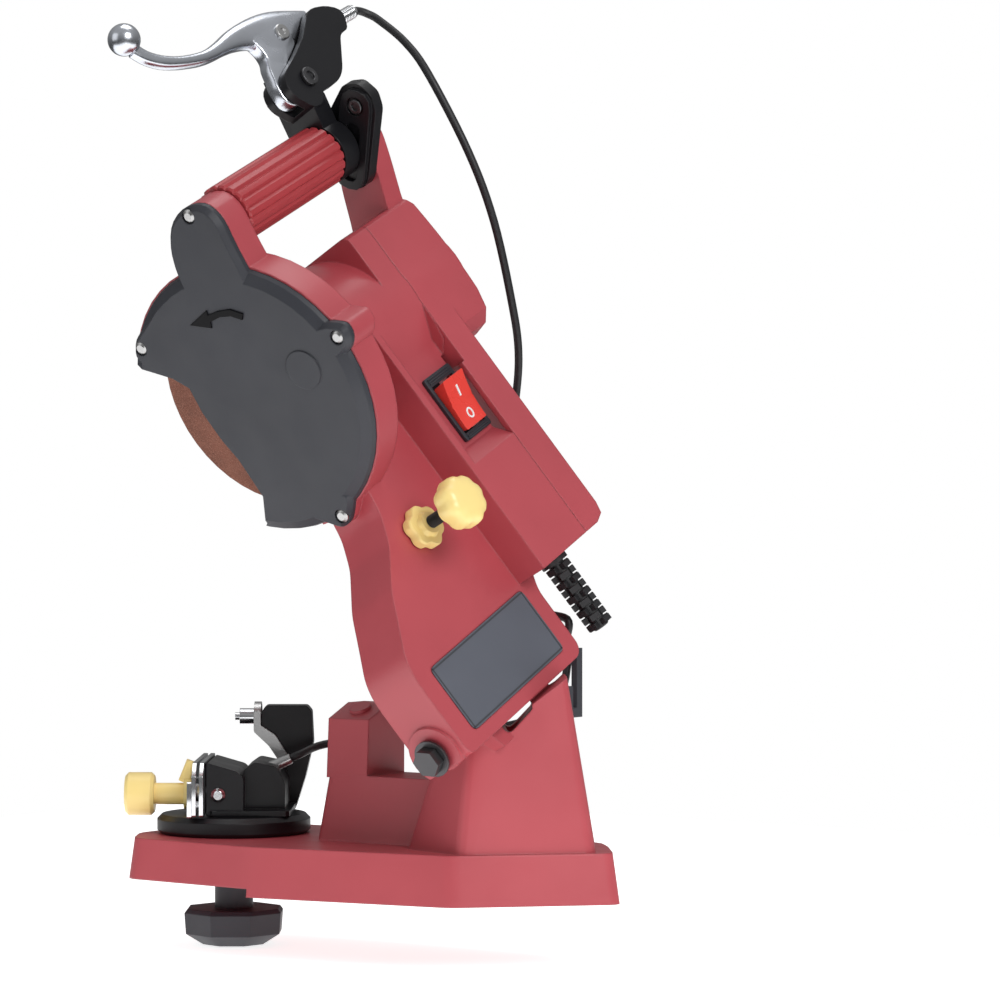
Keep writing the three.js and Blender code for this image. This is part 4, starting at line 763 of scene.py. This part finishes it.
def addRelief():
    end, core, collar = relief["to"], relief["core"], relief["collar"]
    boreEnd = end - relief["boreDepth"]
    form = bmesh.new()
    turnProfile(form, [(relief["plugFrom"], tools["onAxis"]), (relief["plugFrom"], relief["plug"]),
                       (relief["collarFrom"], relief["plug"]), (relief["collarFrom"], collar),
                       (relief["collarTo"], collar), (relief["collarTo"], core), (end - relief["end"], core),
                       (end, core - relief["endFall"]), (end, relief["bore"]), (boreEnd, relief["bore"]),
                       (boreEnd, tools["onAxis"])],
                Vector((1, 0, 0)), Vector((0, relief["along"], relief["out"])), relief["sides"])
    pitch = (end - relief["rowsFrom"]) / relief["rows"]
    length = pitch * relief["lugShare"]
    reach = (core + relief["lug"]) / 2 - relief["lugSink"]
    height = relief["lug"] - core + 2 * relief["lugSink"]
    for row in range(relief["rows"]):
        rowPlace = Matrix.Translation((relief["rowsFrom"] + pitch * row, relief["along"], relief["out"]))
        for lug in range(relief["lugs"]):
            turn = 2 * math.pi * (lug + 0.5 * (row % 2)) / relief["lugs"]
            lugPlace = Matrix.Translation((length / 2, 0, reach)) @ Matrix.Diagonal(
                (length, relief["lugWidth"], height, 1))
            bmesh.ops.create_cube(form, size=1, matrix=rowPlace @ Matrix.Rotation(turn, 4, "X") @ lugPlace)
    addPiece("cord_relief", form, headPlace, "head", "rubber", ["strain_relief"])


addRelief()

# Border of the bare plate.
border = {"low": (185.9, -36.5), "high": (228.1, 65.1), "width": 1.1, "floor": 22.3, "top": 22.62}


def addBorder():
    (x0, y0), (x1, y1), width = border["low"], border["high"], border["width"]
    sides = [((x0, y0), (x1, y0 + width)), ((x0, y1 - width), (x1, y1)),
             ((x0, y0), (x0 + width, y1)), ((x1 - width, y0), (x1, y1))]
    form = bmesh.new()
    for lowCorner, highCorner in sides:
        addBlock(form, (*lowCorner, border["floor"]), (*highCorner, border["top"]))
    addPiece("plate_border", form, headPlace, "head", "grey_plate", material="plate_border")


addBorder()
print("stage: switch, relief and plate")

# Floor: a bright sheet just under the part.
floor = {"height": -0.0405, "half": 0.9, "look": {"colour": (0.93, 0.93, 0.93), "roughness": 0.8,
                                                  "vary": 0.005, "grain": 0.02, "edge": 0.1, "glow": 0.8}}


def addFloor():
    mesh = bpy.data.meshes.new("floor")
    form = bmesh.new()
    bmesh.ops.create_grid(form, x_segments=1, y_segments=1, size=floor["half"],
                          matrix=Matrix.Translation((0, 0, floor["height"])))
    form.to_mesh(mesh)
    form.free()
    floorObject = bpy.data.objects.new("floor", mesh)
    scene.collection.objects.link(floorObject)
    mesh.materials.append(makeMaterial("floor", floor["look"]))


addFloor()

# World: white to the camera, and to everything else a soft grey that grows lighter with height. Heights
# run from -1 straight below to 1 straight above.
sky = {"lowHeight": -0.3, "highHeight": 0.9, "lowGrey": 0.07, "highGrey": 0.42, "seen": (1, 1, 1, 1)}


def addWorld():
    world = bpy.data.worlds.new("world")
    scene.world = world
    world.use_nodes = True
    nodes = world.node_tree.nodes
    links = world.node_tree.links
    coordinates = nodes.new("ShaderNodeTexCoord")
    parts = nodes.new("ShaderNodeSeparateXYZ")
    ramp = nodes.new("ShaderNodeMapRange")
    setSockets(ramp, {"From Min": sky["lowHeight"], "From Max": sky["highHeight"]})
    setSockets(ramp, {"To Min": sky["lowGrey"], "To Max": sky["highGrey"]})
    links.new(coordinates.outputs["Generated"], parts.inputs["Vector"])
    links.new(parts.outputs["Z"], ramp.inputs["Value"])
    rays = nodes.new("ShaderNodeLightPath")
    mixer = nodes.new("ShaderNodeMix")
    mixer.data_type = "RGBA"
    setSockets(mixer, {"B": sky["seen"]})
    links.new(rays.outputs["Is Camera Ray"], mixer.inputs["Factor"])
    links.new(ramp.outputs["Result"], mixer.inputs["A"])
    links.new(mixer.outputs["Result"], nodes["Background"].inputs["Color"])


addWorld()

# Square lights, all turned to one target near the middle of the part. Size is in m and power in W.
studio = {
    "target": (0, -0.05, 0.2),
    "lights": {
        "key_light": {"place": (0.9, 1.8, 1.4), "size": 1.0, "power": 30},
        "fill_light": {"place": (1.6, -0.9, 0.9), "size": 1.2, "power": 3.5},
        "top_light": {"place": (-0.2, -0.1, 2.0), "size": 1.0, "power": 8},
    },
}


def addLight(name, values):
    data = bpy.data.lights.new(name, "AREA")
    data.shape = "SQUARE"
    data.size = values["size"]
    data.energy = values["power"]
    light = bpy.data.objects.new(name, data)
    light.location = values["place"]
    aim = Vector(studio["target"]) - Vector(values["place"])
    light.rotation_euler = aim.to_track_quat("-Z", "Y").to_euler()
    scene.collection.objects.link(light)


for name, values in studio["lights"].items():
    addLight(name, values)
scene.view_settings.view_transform = "Standard"
print("stage: floor and lights")
